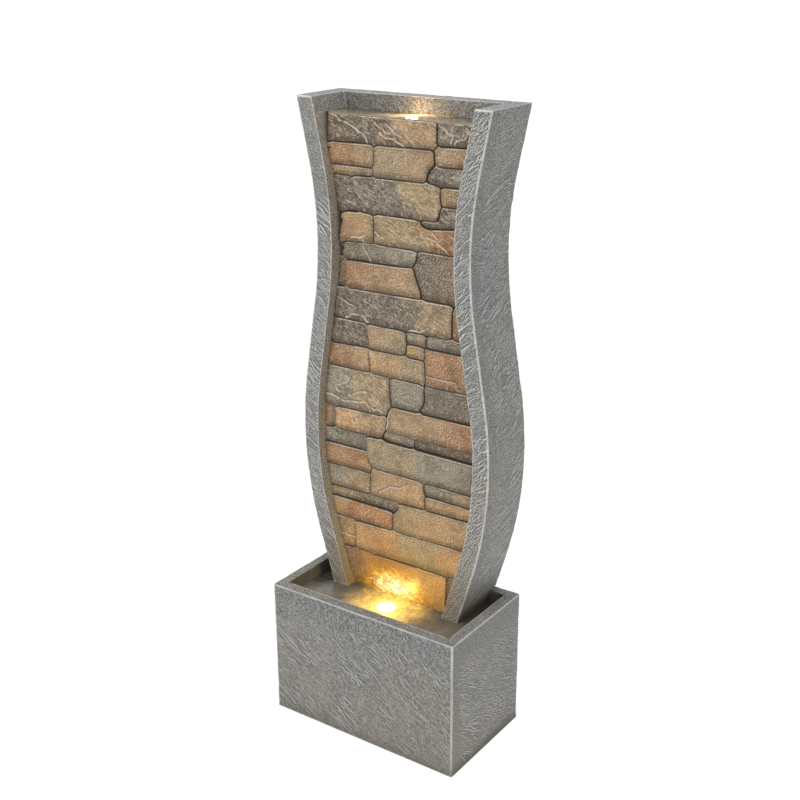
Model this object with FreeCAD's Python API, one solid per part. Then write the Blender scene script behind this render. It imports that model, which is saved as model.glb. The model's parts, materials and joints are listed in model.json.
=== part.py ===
"""Free-standing garden fountain with a stacked-stone cascade between two curved cheeks.

The frame has X to the right, Y towards the back and Z up. Its origin is the middle of the
footprint, on the ground. All lengths are in millimetres.
"""
import FreeCAD, Part
import math
import os

os.makedirs("parts", exist_ok=True)
V = FreeCAD.Vector

# Overall sizes
total_height = 1000.0
base_width = 348.0
base_depth = 200.0
rim_height = 231.3

# Basin casting
basin_wall = 19.0
basin_floor = 16.0
basin_edge_round = 3.0
basin_inner_round = 6.0
rim_chamfer = 1.5
pad_radius = 13.0
pad_thick = 4.0
pad_proud = 2.0
pad_from_side = 29.0
pad_from_front = 28.0

# Wall body: side outline, symmetric about the middle. The straights are the heights of the
# straight runs above the waist, between waist and belly, and below the belly.
top_half = 169.8
waist_half = 137.7
waist_z = 790.0
belly_z = 475.0
foot_half = 112.0
foot_z = 175.0
flare_straight = 93.7
lean_straight = 119.3
tuck_straight = 124.5

# Wall body: depth and walls
body_depth = 107.0
cheek_width = 29.0
shell_wall = 7.0
lip_thick = 6.0
lip_depth = 27.0
rim_thick_back = 28.0
edge_chamfer = 1.5
body_clear = 0.3
bond_gap = 0.2

# Stone panel
plate_thick = 6.0
relief_height = 9.0
stone_bevel = 2.6
stone_corner = 5.0
stone_side_gap = 2.5
water_drop = 25.0
panel_foot_z = 60.0
stone_foot_clear = 3.0
layout_half = 145.0

# Upper trough tray
tray_wall = 4.0
tray_floor = 4.0
tray_depth_below = 40.0
shelf_thick = 6.0
shelf_width = 14.0
shelf_back_width = 8.0
tray_wall_drop = 4.0
tray_clear = 0.3

# Rear access door
door_width = 140.0
door_height = 140.0
door_above_rim = 20.7
door_rebate = 8.0
door_plate = 3.8
door_rebate_depth = 4.0
door_rim = 3.0
door_rim_depth = 12.0
door_clear = 0.4
door_round = 8.0
pull_width = 38.0
pull_height = 16.0
pull_from_top = 30.0

# Cable outlet at the back
cable_x = -88.0
cable_notch_width = 12.0
cable_notch_height = 12.0
cable_groove_depth = 8.0
grommet_wall = 1.6
grommet_flange = 2.0

# Pump
pump_x = 2.0
pump_y = 52.0
cup_height = 8.0
cup_radius = 7.0
cup_stem_radius = 3.0
motor_length = 42.0
motor_width = 42.0
motor_height = 46.0
motor_round = 5.0
chamber_length = 20.0
chamber_radius = 18.5
chamber_bore = 15.0
chamber_back_wall = 3.0
rotor_bore = 7.6
rotor_radius = 7.0
rotor_length = 28.0
impeller_radius = 13.0
impeller_plate = 1.6
blade_count = 6
blade_thick = 1.4
blade_height = 7.0
shaft_radius = 1.5
shaft_fit = 0.05
bush_radius = 4.0
bush_length = 3.0
cover_thick = 3.0
cover_seat = 1.5
cover_inlet_radius = 9.0
cover_boss_radius = 5.5
cover_arm = 2.4
nozzle_radius = 5.9
nozzle_bore = 4.2
nozzle_height = 30.0
cable_boss_radius = 5.0
cable_boss_length = 6.0

# Pump strainer and flow dial
strainer_length = 37.0
strainer_wall = 2.0
strainer_gap = 0.4
strainer_slot = 3.0
strainer_slots_front = 5
strainer_slots_side = 4
dial_radius = 9.0
dial_thick = 5.0
dial_stem = 4.95
dial_hole = 5.0
dial_shutter = 8.0
dial_gap = 0.3

# Supply hose and its fittings
hose_radius = 8.0
hose_bore = 6.0
hose_low_bend_z = 260.0
hose_high_bend_z = 690.0
hose_bend_radius = 900.0
clamp_thick = 1.2
clamp_width = 8.0
clamp_ear = 7.0
clamp_gap = 0.1
clamp_from_end = 4.0
hose_end_gap = 2.0
spigot_x = -62.0
spigot_flange_radius = 13.0
spigot_flange = 3.0
spigot_stem_radius = 8.0
spigot_stem_fit = 0.3
spigot_bore = 4.2
spigot_barb_radius = 5.9
spigot_barb_length = 20.0
spigot_washer = 1.5
spigot_nut = 6.0
spigot_nut_radius = 13.0

# Lamps, one under each water surface
lamp_radius = 18.0
lamp_body_radius = 16.0
lamp_wall = 2.0
lamp_height = 20.0
lamp_flange = 3.0
lamp_board_radius = 13.8
lamp_board_thick = 1.6
lamp_board_z = 11.0
lamp_board_ledge = 1.4
lamp_chip = 4.0
lamp_chip_height = 1.2
lamp_chip_ring = 8.0
lamp_chip_count = 6
lamp_seal_thick = 1.0
lamp_lens_radius = 16.0
lamp_lens_thick = 2.5
lamp_bezel_wall = 1.5
lamp_window = 14.5
lamp_bezel_top = 1.0
lamp_fit = 0.1

# Places of the lamps
upper_lamp_x = 0.0
upper_lamp_cup_height = 4.0
upper_lamp_cup_radius = 12.0
upper_lamp_cup_neck = 8.0
lower_lamp_y = -27.0
lower_lamp_top_z = 206.0

# Bracket of the lower lamp
bracket_thick = 3.0
bracket_half = 15.0
bracket_drop = 50.0
bracket_screw_drop = 12.0
bracket_screw_pitch = 26.0
screw_radius = 1.75
screw_fit = 0.05
screw_head_radius = 3.6
screw_head = 2.2
screw_length = 9.0

# Heights and planes that follow from the sizes above
basin_low_z = pad_proud
floor_z = basin_low_z + basin_floor
front_y = -base_depth / 2
back_y = base_depth / 2
body_front_y = back_y - body_depth
lip_back_y = body_front_y + lip_depth
plate_back_y = lip_back_y + plate_thick
stone_front_y = lip_back_y - relief_height
trough_back_y = back_y - rim_thick_back
water_top_z = total_height - water_drop
stones_top_z = water_top_z
tray_low_z = water_top_z - tray_depth_below
shelf_low_z = tray_low_z - shelf_thick
basin_back_inner_y = back_y - basin_wall
belly_half = base_width / 2
door_low_z = rim_height + door_above_rim
tray_front_y = plate_back_y + tray_clear
tray_back_y = trough_back_y - tray_clear
tray_middle_y = (tray_front_y + tray_back_y) / 2
pump_low_z = floor_z + cup_height
pump_axis_z = pump_low_z + motor_height / 2
nozzle_x = pump_x - chamber_length / 2
lamp_stack = lamp_height + lamp_seal_thick + lamp_lens_thick + lamp_bezel_top
bracket_top_z = lower_lamp_top_z - lamp_stack
stones_low_z = bracket_top_z + stone_foot_clear

# Stones of the cascade, course by course from the top. Each is its lift off the common
# face, then its corners as (x, z), clockwise from the upper left.
STONES = [
    (0.5, [(-124, 975), (-112, 975), (-51, 938), (-124, 936)]),
    (1.5, [(-109, 975), (67, 975), (66, 938), (-47, 936)]),
    (-0.5, [(71, 975), (136, 975), (136, 945), (71, 943)]),
    (1.0, [(-121, 932), (-41, 932), (-44, 902), (-117, 903)]),
    (0.0, [(-116, 899), (-45, 899), (-46, 890), (-112, 887)]),
    (2.0, [(-37, 933), (63, 934), (64, 914), (52, 907), (49, 890), (-41, 889)]),
    (1.0, [(68, 939), (134, 941), (130, 915), (68, 914)]),
    (-0.5, [(61, 911), (129, 912), (122, 889), (53, 889)]),
    (-1.0, [(-114, 884), (-84, 884), (-83, 866), (-68, 836), (-107, 835)]),
    (1.0, [(-80, 885), (66, 886), (72, 879), (74, 857), (68, 836), (-64, 836), (-80, 866)]),
    (0.5, [(77, 881), (120, 882), (116, 860), (78, 858)]),
    (-1.0, [(78, 855), (114, 856), (110, 832), (72, 832)]),
    (2.0, [(-95, 830), (-50, 831), (-44, 824), (-43, 794), (-103, 788), (-98, 806)]),
    (1.0, [(-39, 832), (36, 832), (48, 820), (110, 826), (110, 790), (-40, 792)]),
    (-1.0, [(41, 832), (110, 832), (110, 829), (51, 823)]),
    (0.0, [(-98, 784), (33, 785), (32, 772), (22, 764), (-10, 761), (-96, 760)]),
    (-1.0, [(37, 785), (108, 785), (112, 718), (46, 718), (33, 750), (30, 763), (36, 771)]),
    (-2.0, [(-112, 756), (-98, 757), (-98, 719), (-114, 718)]),
    (1.5, [(-94, 757), (-10, 758), (26, 759), (30, 748), (42, 720), (-94, 717)]),
    (0.5, [(-117, 711), (95, 712), (93, 663), (8, 666), (-121, 667)]),
    (-1.0, [(98, 708), (119, 708), (125, 664), (98, 663)]),
    (0.0, [(-122, 661), (-60, 660), (-57, 626), (-127, 624)]),
    (1.5, [(-57, 659), (14, 659), (12, 626), (-52, 625)]),
    (0.0, [(17, 660), (49, 661), (49, 645), (18, 645)]),
    (-1.0, [(52, 661), (124, 661), (127, 643), (52, 644)]),
    (0.5, [(18, 641), (46, 641), (46, 623), (17, 623)]),
    (1.0, [(51, 640), (127, 640), (136, 586), (53, 584)]),
    (1.0, [(-127, 620), (-57, 622), (-53, 588), (-134, 586)]),
    (1.8, [(-54, 621), (47, 621), (48, 586), (-50, 586)]),
    (1.0, [(-135, 582), (-18, 582), (-17, 540), (-30, 521), (-142, 519)]),
    (0.5, [(-14, 581), (44, 582), (46, 556), (36, 539), (-6, 539), (-14, 548)]),
    (-0.5, [(50, 580), (138, 581), (143, 538), (41, 538), (50, 552)]),
    (2.0, [(-9, 534), (143, 535), (145, 494), (-21, 495)]),
    (1.0, [(-120, 514), (-24, 514), (-33, 482), (-123, 480)]),
    (-1.5, [(-144, 515), (-124, 514), (-127, 480), (-145, 479)]),
    (-1.0, [(-28, 490), (27, 490), (27, 477), (-26, 478)]),
    (-2.5, [(31, 490), (145, 488), (145, 476), (31, 477)]),
    (-0.5, [(-145, 476), (-62, 476), (-62, 454), (-145, 453)]),
    (2.0, [(-58, 476), (145, 472), (143, 424), (-48, 427), (-58, 440)]),
    (1.0, [(-145, 450), (-62, 450), (-60, 436), (-55, 426), (-55, 417), (-143, 416)]),
    (-0.5, [(-143, 412), (-57, 413), (-58, 379), (-139, 377)]),
    (1.0, [(-51, 423), (43, 423), (46, 400), (48, 380), (-54, 379)]),
    (0.0, [(50, 421), (143, 419), (141, 402), (50, 404)]),
    (0.5, [(52, 400), (140, 398), (137, 380), (52, 380)]),
    (-1.5, [(-137, 374), (-2, 375), (-6, 362), (-133, 361)]),
    (1.0, [(-132, 357), (-14, 356), (-14, 328), (-127, 327)]),
    (1.5, [(3, 375), (136, 376), (130, 328), (-9, 327), (-9, 350), (0, 362)]),
    (-0.5, [(-126, 323), (-89, 323), (-89, 277), (-112, 276)]),
    (1.0, [(-85, 322), (38, 324), (36, 277), (-85, 276)]),
    (0.5, [(40, 324), (127, 324), (112, 277), (39, 277)]),
    (0.0, [(-110, 271), (-53, 272), (-52, 218), (-97, 218)]),
    (1.5, [(-49, 271), (87, 270), (86, 217), (-48, 217)]),
    (-1.0, [(91, 270), (110, 270), (98, 218), (90, 218)]),
    (-0.5, [(-97, 213), (-20, 213), (-18, 184), (-90, 184)]),
    (0.5, [(-16, 213), (95, 213), (90, 184), (-14, 184)]),
]


def box(x0, x1, y0, y1, z0, z1):
    """A block between two corners."""
    return Part.makeBox(x1 - x0, y1 - y0, z1 - z0, V(x0, y0, z0))


def upright(radius, x, y, z0, z1):
    """A round bar standing from z0 to z1."""
    return Part.makeCylinder(radius, z1 - z0, V(x, y, z0), V(0, 0, 1))


def along_x(radius, x0, x1, y, z):
    """A round bar lying along X."""
    return Part.makeCylinder(radius, x1 - x0, V(x0, y, z), V(1, 0, 0))


def along_y(radius, x, y0, y1, z):
    """A round bar lying along Y."""
    return Part.makeCylinder(radius, y1 - y0, V(x, y0, z), V(0, 1, 0))


def edges_along(shape, direction, where):
    """Straight edges of a shape that run along a direction and pass a test of their middle."""
    found = []
    for edge in shape.Edges:
        if len(edge.Vertexes) != 2:
            continue
        run = edge.Vertexes[1].Point - edge.Vertexes[0].Point
        if run.Length < 1e-6:
            continue
        if abs(abs(run.normalize().dot(direction)) - 1) < 1e-6 and where(edge.CenterOfMass):
            found.append(edge)
    return found


def rounded_plate(x0, x1, y0, y1, z0, z1, radius):
    """A block with its four edges along Y rounded."""
    plate = box(x0, x1, y0, y1, z0, z1)
    return plate.makeFillet(radius, edges_along(plate, V(0, 1, 0), lambda middle: True))


def save(shape, node):
    """Write one sub-part, made of valid solids."""
    shape = shape.removeSplitter()
    solids = shape.Solids
    for solid in solids:
        if not solid.isValid() or solid.Volume <= 0:
            raise ValueError(node + " has a bad solid")
    result = solids[0] if len(solids) == 1 else Part.makeCompound(solids)
    result.exportStep("parts/" + node + ".step")
    print(node, len(solids), "solids", round(result.Volume / 1000, 1), "cm3")


def bend_angle(reach, rise, straight):
    """Slope of a straight run of given height that, with its arcs, moves the outline by reach."""
    low = 0.0
    high = math.pi / 2
    for _ in range(60):
        middle = (low + high) / 2
        moved = (rise - straight) * math.tan(middle / 2) + straight * math.tan(middle)
        if moved < reach:
            low = middle
        else:
            high = middle
    return low


def outline_prism(inset, y_low, y_high, z_low, z_high):
    """The body's front outline, moved in by inset, as a prism between two depths and heights."""
    flare = bend_angle(top_half - waist_half, total_height - waist_z, flare_straight)
    lean = bend_angle(belly_half - waist_half, waist_z - belly_z, lean_straight)
    tuck = bend_angle(belly_half - foot_half, belly_z - foot_z, tuck_straight)
    flare_radius = (total_height - waist_z - flare_straight) / math.sin(flare)
    lean_radius = (waist_z - belly_z - lean_straight) / math.sin(lean) / 2
    tuck_radius = (belly_z - foot_z - tuck_straight) / math.sin(tuck)

    def hollow(radius, angle):
        """A point of an arc that curves in at the waist, at an angle above the waist."""
        reach = radius + inset
        return (waist_half + radius - reach * math.cos(angle), waist_z + reach * math.sin(angle))

    def swell(radius, angle):
        """A point of an arc that curves out at the belly, at an angle above the belly."""
        reach = radius - inset
        return (belly_half - radius + reach * math.cos(angle), belly_z + reach * math.sin(angle))

    end = total_height + cheek_width
    flare_start = hollow(flare_radius, flare)
    flare_end = (flare_start[0] + (end - flare_start[1]) * math.tan(flare), end)
    tuck_start = swell(tuck_radius, -tuck)
    corner = (tuck_start[0] - (tuck_start[1] - foot_z) * math.tan(tuck), foot_z)
    foot = (corner[0], 0.0)

    def side(sign):
        def at(point):
            return V(sign * point[0], y_low, point[1])

        def arc(place, radius, start, stop):
            points = [at(place(radius, angle)) for angle in (start, (start + stop) / 2, stop)]
            return Part.Arc(*points).toShape()

        def line(start, stop):
            return Part.LineSegment(at(start), at(stop)).toShape()

        return [
            line(foot, corner),
            line(corner, tuck_start),
            arc(swell, tuck_radius, -tuck, 0.0),
            arc(swell, lean_radius, 0.0, lean),
            line(swell(lean_radius, lean), hollow(lean_radius, -lean)),
            arc(hollow, lean_radius, -lean, 0.0),
            arc(hollow, flare_radius, 0.0, flare),
            line(flare_start, flare_end),
        ]

    across_top = Part.LineSegment(V(flare_end[0], y_low, end), V(-flare_end[0], y_low, end)).toShape()
    across_foot = Part.LineSegment(V(-foot[0], y_low, 0), V(foot[0], y_low, 0)).toShape()
    wire = Part.Wire(Part.__sortEdges__(side(1) + [across_top] + side(-1) + [across_foot]))
    prism = Part.Face(wire).extrude(V(0, y_high - y_low, 0))
    span = base_width + 2 * top_half
    return prism.common(box(-span, span, y_low, y_high, z_low, z_high))


def make_basin():
    """Lower reservoir: an open rectangular casting with a flat rim."""
    half = base_width / 2
    outer = box(-half, half, front_y, back_y, basin_low_z, rim_height)
    outer = outer.makeFillet(basin_edge_round, edges_along(outer, V(0, 0, 1), lambda middle: True))
    rim = [edge for edge in outer.Edges if abs(edge.CenterOfMass.z - rim_height) < 1e-6]
    outer = outer.makeChamfer(rim_chamfer, rim)
    inner = box(-half + basin_wall, half - basin_wall, front_y + basin_wall, back_y - basin_wall,
                floor_z, rim_height + basin_wall)
    inner = inner.makeFillet(basin_inner_round, edges_along(inner, V(0, 0, 1), lambda middle: True))
    basin = outer.cut(inner)
    for x, y in pad_places():
        basin = basin.cut(upright(pad_radius + body_clear, x, y, 0, pad_thick))
    half_notch = cable_notch_width / 2
    groove = box(cable_x - half_notch, cable_x + half_notch, back_y - cable_groove_depth,
                 back_y + 1, 0, rim_height + 1)
    save(basin.cut(groove), "basin")


def pad_places():
    """Centres of the four foot pads."""
    x = base_width / 2 - pad_from_side
    y = base_depth / 2 - pad_from_front
    return [(-x, -y), (x, -y), (x, y), (-x, y)]


def make_foot_pads():
    """Rubber pads let into the basin's underside."""
    pads = []
    for x, y in pad_places():
        pad = upright(pad_radius, x, y, 0, pad_thick)
        pads.append(pad.makeChamfer(pad_proud / 4, [pad.Edges[2]]))
    save(Part.makeCompound(pads), "foot_pads")


def make_wall_shell():
    """Surround cast in one piece: curved cheeks with inner lips, sides and the trough's shelf."""
    outer = outline_prism(0, body_front_y, back_y, floor_z, total_height)
    sharp = [edge for edge in outer.Edges
             if abs(edge.CenterOfMass.y - body_front_y) < 1e-6 and edge.CenterOfMass.z > floor_z + 1]
    outer = outer.makeChamfer(edge_chamfer, sharp)
    inside_front_y = body_front_y + shell_wall
    room = outline_prism(shell_wall, inside_front_y, back_y + 1, floor_z - 1, shelf_low_z)
    lips = outline_prism(cheek_width - lip_thick, inside_front_y - 1, lip_back_y, floor_z - 1,
                         shelf_low_z + 1)
    face = outline_prism(cheek_width, body_front_y - 1, plate_back_y, floor_z - 1, total_height + 1)
    trough = outline_prism(cheek_width, plate_back_y - 1, back_y + 1, tray_low_z, total_height + 1)
    hatch = outline_prism(cheek_width + shelf_width, plate_back_y - 1,
                          trough_back_y - shelf_back_width, shelf_low_z - 1, tray_low_z + 1)
    shell = outer.cut(room.cut(lips))
    for void in (face, trough, hatch):
        shell = shell.cut(void)
    span = base_width
    rear_foot = box(-span, span, basin_back_inner_y - body_clear, back_y + 1, 0, rim_height)
    save(shell.cut(rear_foot), "wall_shell")


def make_rear_rim():
    """Thick bar bonded on the shelf between the cheeks, behind the trough."""
    save(outline_prism(cheek_width + bond_gap, trough_back_y, back_y, tray_low_z + bond_gap,
                       total_height), "rear_rim")


def make_rear_wall():
    """Back plate bonded between the sides, with the doorway and the cable notch."""
    plate = outline_prism(shell_wall + bond_gap, back_y - shell_wall, back_y, rim_height,
                          shelf_low_z - bond_gap)
    half = door_width / 2
    high = door_low_z + door_height
    doorway = rounded_plate(-half, half, back_y - 2 * shell_wall, back_y + 1, door_low_z, high,
                            door_round)
    rebate = rounded_plate(-half - door_rebate, half + door_rebate, back_y - door_rebate_depth,
                           back_y + 1, door_low_z - door_rebate, high + door_rebate,
                           door_round + door_rebate)
    half_notch = cable_notch_width / 2
    notch = box(cable_x - half_notch, cable_x + half_notch, back_y - 2 * shell_wall, back_y + 1,
                rim_height - 1, rim_height + cable_notch_height)
    for void in (doorway, rebate, notch):
        plate = plate.cut(void)
    save(plate, "rear_wall")


def inset_corners(corners, distance):
    """Corners of a clockwise outline moved in by a distance."""
    count = len(corners)
    moved = []
    for index in range(count):
        before = corners[index - 1]
        here = corners[index]
        after = corners[(index + 1) % count]
        run_in = (here[0] - before[0], here[1] - before[1])
        run_out = (after[0] - here[0], after[1] - here[1])
        size_in = math.hypot(*run_in)
        size_out = math.hypot(*run_out)
        normal_in = (run_in[1] / size_in, -run_in[0] / size_in)
        normal_out = (run_out[1] / size_out, -run_out[0] / size_out)
        share = 1 + normal_in[0] * normal_out[0] + normal_in[1] * normal_out[1]
        moved.append((here[0] + distance * (normal_in[0] + normal_out[0]) / share,
                      here[1] + distance * (normal_in[1] + normal_out[1]) / share))
    return moved


def fitted_bevel(corners, bevel):
    """The bevel, made smaller until no edge of the moved-in outline turns round."""
    count = len(corners)
    while True:
        moved = inset_corners(corners, bevel)
        turned = 0
        for index in range(count):
            after = (index + 1) % count
            run = (corners[after][0] - corners[index][0], corners[after][1] - corners[index][1])
            new = (moved[after][0] - moved[index][0], moved[after][1] - moved[index][1])
            if run[0] * new[0] + run[1] * new[1] < 0.1 * math.hypot(*run):
                turned += 1
        if turned == 0:
            return bevel
        bevel *= 0.85


def cut_corners(corners, size):
    """Corners with each sharp one replaced by two, so that a stone looks worn."""
    count = len(corners)
    worn = []
    for index in range(count):
        here = corners[index]
        for other in (corners[index - 1], corners[(index + 1) % count]):
            run = math.hypot(other[0] - here[0], other[1] - here[1])
            share = min(size, 0.3 * run) / run
            worn.append((here[0] + share * (other[0] - here[0]), here[1] + share * (other[1] - here[1])))
    return worn


def make_stone(lift, corners, number):
    """One stone: a block with a tilted face, worn corners and a bevelled arris."""
    half_scale = (belly_half - cheek_width) / layout_half
    low, high = STONES[-1][1][-1][1], STONES[0][1][0][1]
    z_scale = (stones_top_z - stones_low_z) / (high - low)
    placed = [(x * half_scale, stones_low_z + (z - low) * z_scale) for x, z in corners]
    outer = cut_corners(placed, stone_corner)
    tall = max(z for x, z in placed) - min(z for x, z in placed)
    bevel = fitted_bevel(outer, min(stone_bevel, 0.22 * tall))
    inner = inset_corners(outer, bevel)
    middle_x = sum(x for x, z in placed) / len(placed)
    middle_z = sum(z for x, z in placed) / len(placed)
    tilt_x = 0.006 * ((number * 3) % 5 - 2)
    tilt_z = 0.012 * ((number * 2) % 5 - 2)

    def face_y(x, z, depth):
        return stone_front_y - lift + depth + tilt_x * (x - middle_x) + tilt_z * (z - middle_z)

    root = [V(x, lip_back_y + plate_thick / 2, z) for x, z in outer]
    shoulder = [V(x, face_y(x, z, bevel), z) for x, z in outer]
    face = [V(x, face_y(x, z, 0), z) for x, z in inner]
    wires = [Part.makePolygon(points + [points[0]]) for points in (root, shoulder, face)]
    return Part.makeLoft(wires, True, True)


def make_cascade_panel():
    """Stacked-stone cascade: a backing plate with every stone standing off it."""
    plate = outline_prism(cheek_width - lip_thick, lip_back_y, plate_back_y, panel_foot_z, shelf_low_z)
    head = outline_prism(cheek_width + tray_clear, lip_back_y, plate_back_y, shelf_low_z - 1,
                         stones_top_z)
    bounds = outline_prism(cheek_width + stone_side_gap, body_front_y, plate_back_y, panel_foot_z,
                           stones_top_z)
    stones = [make_stone(lift, corners, number).common(bounds)
              for number, (lift, corners) in enumerate(STONES)]
    panel = plate.fuse([head] + stones)
    for x, z in bracket_screw_places():
        panel = panel.cut(along_y(screw_radius + screw_fit, x, lip_back_y - 1, plate_back_y + 1, z))
    save(panel, "cascade_panel")


def make_top_trough():
    """Tray that holds the upper water behind the stones, with a low front weir."""
    high = water_top_z - tray_wall_drop
    outer = outline_prism(cheek_width + tray_clear, tray_front_y, tray_back_y, tray_low_z, high)
    inner = outline_prism(cheek_width + tray_clear + tray_wall, tray_front_y + tray_wall,
                          tray_back_y - tray_wall, tray_low_z + tray_floor, total_height)
    hole = upright(spigot_stem_radius + spigot_stem_fit, spigot_x, tray_middle_y, tray_low_z - 1,
                   tray_low_z + tray_floor + 1)
    save(outer.cut(inner).cut(hole), "top_trough")


def make_rear_door():
    """Push-in access door with a rim behind its plate and a finger slot."""
    half = door_width / 2 - door_clear
    low = door_low_z + door_clear
    high = door_low_z + door_height - door_clear
    plate = rounded_plate(-half - door_rebate, half + door_rebate, back_y - door_plate, back_y,
                          low - door_rebate, high + door_rebate, door_round + door_rebate)
    rim_y = back_y - door_plate - door_rim_depth
    rim = rounded_plate(-half, half, rim_y, back_y - door_plate, low, high, door_round - door_clear)
    hollow = rounded_plate(-half + door_rim, half - door_rim, rim_y - 1, back_y - door_plate,
                           low + door_rim, high - door_rim, door_round - door_rim)
    pull_z = high - pull_from_top
    pull = rounded_plate(-pull_width / 2, pull_width / 2, rim_y, back_y + 1, pull_z - pull_height / 2,
                         pull_z + pull_height / 2, pull_height / 2 - 0.01)
    save(plate.fuse(rim).cut(hollow).cut(pull), "rear_door")


def make_cable_grommet():
    """Rubber edging round the cable notch, open at the bottom over the basin's rim."""
    half = cable_notch_width / 2
    top = rim_height + cable_notch_height
    body = box(cable_x - half, cable_x + half, back_y - shell_wall, back_y, rim_height, top)
    flange = box(cable_x - half - grommet_flange, cable_x + half + grommet_flange,
                 back_y - shell_wall - grommet_flange, back_y - shell_wall, rim_height,
                 top + grommet_flange)
    passage = box(cable_x - half + grommet_wall, cable_x + half - grommet_wall,
                  back_y - 3 * shell_wall, back_y + 1, rim_height - 1, top - grommet_wall)
    save(body.fuse(flange).cut(passage), "cable_grommet")


def make_pump_body():
    """Sealed motor block with its impeller chamber, outlet nozzle and cable boss."""
    half = motor_width / 2
    motor = box(pump_x, pump_x + motor_length, pump_y - half, pump_y + half, pump_low_z,
                pump_low_z + motor_height)
    motor = motor.makeFillet(motor_round, edges_along(motor, V(1, 0, 0), lambda middle: True))
    chamber = along_x(chamber_radius, pump_x - chamber_length, pump_x + 1, pump_y, pump_axis_z)
    nozzle = upright(nozzle_radius, nozzle_x, pump_y, pump_axis_z, pump_axis_z + chamber_radius
                     + nozzle_height)
    boss = along_x(cable_boss_radius, pump_x + motor_length - 1,
                   pump_x + motor_length + cable_boss_length, pump_y, pump_low_z + motor_height - 12)
    body = motor.fuse([chamber, nozzle, boss])
    well = along_x(chamber_bore, pump_x - chamber_length - 1, pump_x - chamber_back_wall, pump_y,
                   pump_axis_z)
    seat = along_x(chamber_bore + cover_seat, pump_x - chamber_length - 1,
                   pump_x - chamber_length + cover_thick, pump_y, pump_axis_z)
    bore = along_x(rotor_bore, pump_x - chamber_back_wall - 1, rotor_end_x() + 1, pump_y, pump_axis_z)
    socket = along_x(bush_radius, rotor_end_x(), rotor_end_x() + 1 + bush_length, pump_y, pump_axis_z)
    outlet = upright(nozzle_bore, nozzle_x, pump_y, pump_axis_z, pump_axis_z + chamber_radius
                     + nozzle_height + 1)
    for void in (well, seat, bore, socket, outlet):
        body = body.cut(void)
    save(body, "pump_body")


def rotor_end_x():
    """Where the rotor's magnet ends inside the motor block."""
    return pump_x - chamber_back_wall + rotor_length


def make_pump_rotor():
    """Magnet, hub and blades, turning on the ceramic shaft."""
    magnet = along_x(rotor_radius, pump_x - chamber_back_wall, rotor_end_x(), pump_y, pump_axis_z)
    plate_x = pump_x - chamber_back_wall - 1
    plate = along_x(impeller_radius, plate_x - impeller_plate, plate_x, pump_y, pump_axis_z)
    hub = along_x(bush_radius, plate_x - impeller_plate - blade_height, plate_x + 2, pump_y, pump_axis_z)
    rotor = magnet.fuse([plate, hub])
    for number in range(blade_count):
        blade = box(plate_x - impeller_plate - blade_height, plate_x, pump_y,
                    pump_y + impeller_radius, pump_axis_z - blade_thick / 2,
                    pump_axis_z + blade_thick / 2)
        blade.rotate(V(0, pump_y, pump_axis_z), V(1, 0, 0), 360.0 * number / blade_count)
        rotor = rotor.fuse(blade)
    length = 2 * rotor_length
    bore = along_x(shaft_radius + shaft_fit, pump_x - length, pump_x + length, pump_y, pump_axis_z)
    save(rotor.cut(bore), "pump_rotor")


def front_bush_x():
    """Inner end of the front bush, held in the chamber cover's boss."""
    return pump_x - chamber_length + cover_thick


def make_pump_shaft():
    """Ceramic shaft that stands still between its two bushes."""
    start = front_bush_x() - bush_length + 0.5
    end = rotor_end_x() + bush_length
    save(along_x(shaft_radius, start, end, pump_y, pump_axis_z), "pump_shaft")


def make_shaft_bushes():
    """Rubber bushes at both ends of the shaft."""
    bushes = []
    for start in (front_bush_x() - bush_length, rotor_end_x() + 1):
        bush = along_x(bush_radius - shaft_fit, start, start + bush_length, pump_y, pump_axis_z)
        hole = along_x(shaft_radius + shaft_fit / 2, start - 1, start + bush_length + 1, pump_y,
                       pump_axis_z)
        bushes.append(bush.cut(hole))
    save(Part.makeCompound(bushes), "shaft_bushes")


def make_chamber_cover():
    """Round cover of the impeller chamber, with its inlet and the front bush's boss."""
    x0 = pump_x - chamber_length
    x1 = x0 + cover_thick
    cover = along_x(chamber_bore + cover_seat - lamp_fit, x0, x1, pump_y, pump_axis_z)
    cover = cover.cut(along_x(cover_inlet_radius, x0 - 1, x1 + 1, pump_y, pump_axis_z))
    boss = along_x(cover_boss_radius, x0, x1, pump_y, pump_axis_z)
    arms = [box(x0, x1, pump_y, pump_y + cover_inlet_radius + 1, pump_axis_z - cover_arm / 2,
                pump_axis_z + cover_arm / 2) for number in range(3)]
    for number, arm in enumerate(arms):
        arm.rotate(V(0, pump_y, pump_axis_z), V(1, 0, 0), 120.0 * number + 90)
    cover = cover.fuse([boss] + arms)
    socket = along_x(bush_radius, x0 - 1, x1 + 1, pump_y, pump_axis_z)
    save(cover.cut(socket), "chamber_cover")


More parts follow.
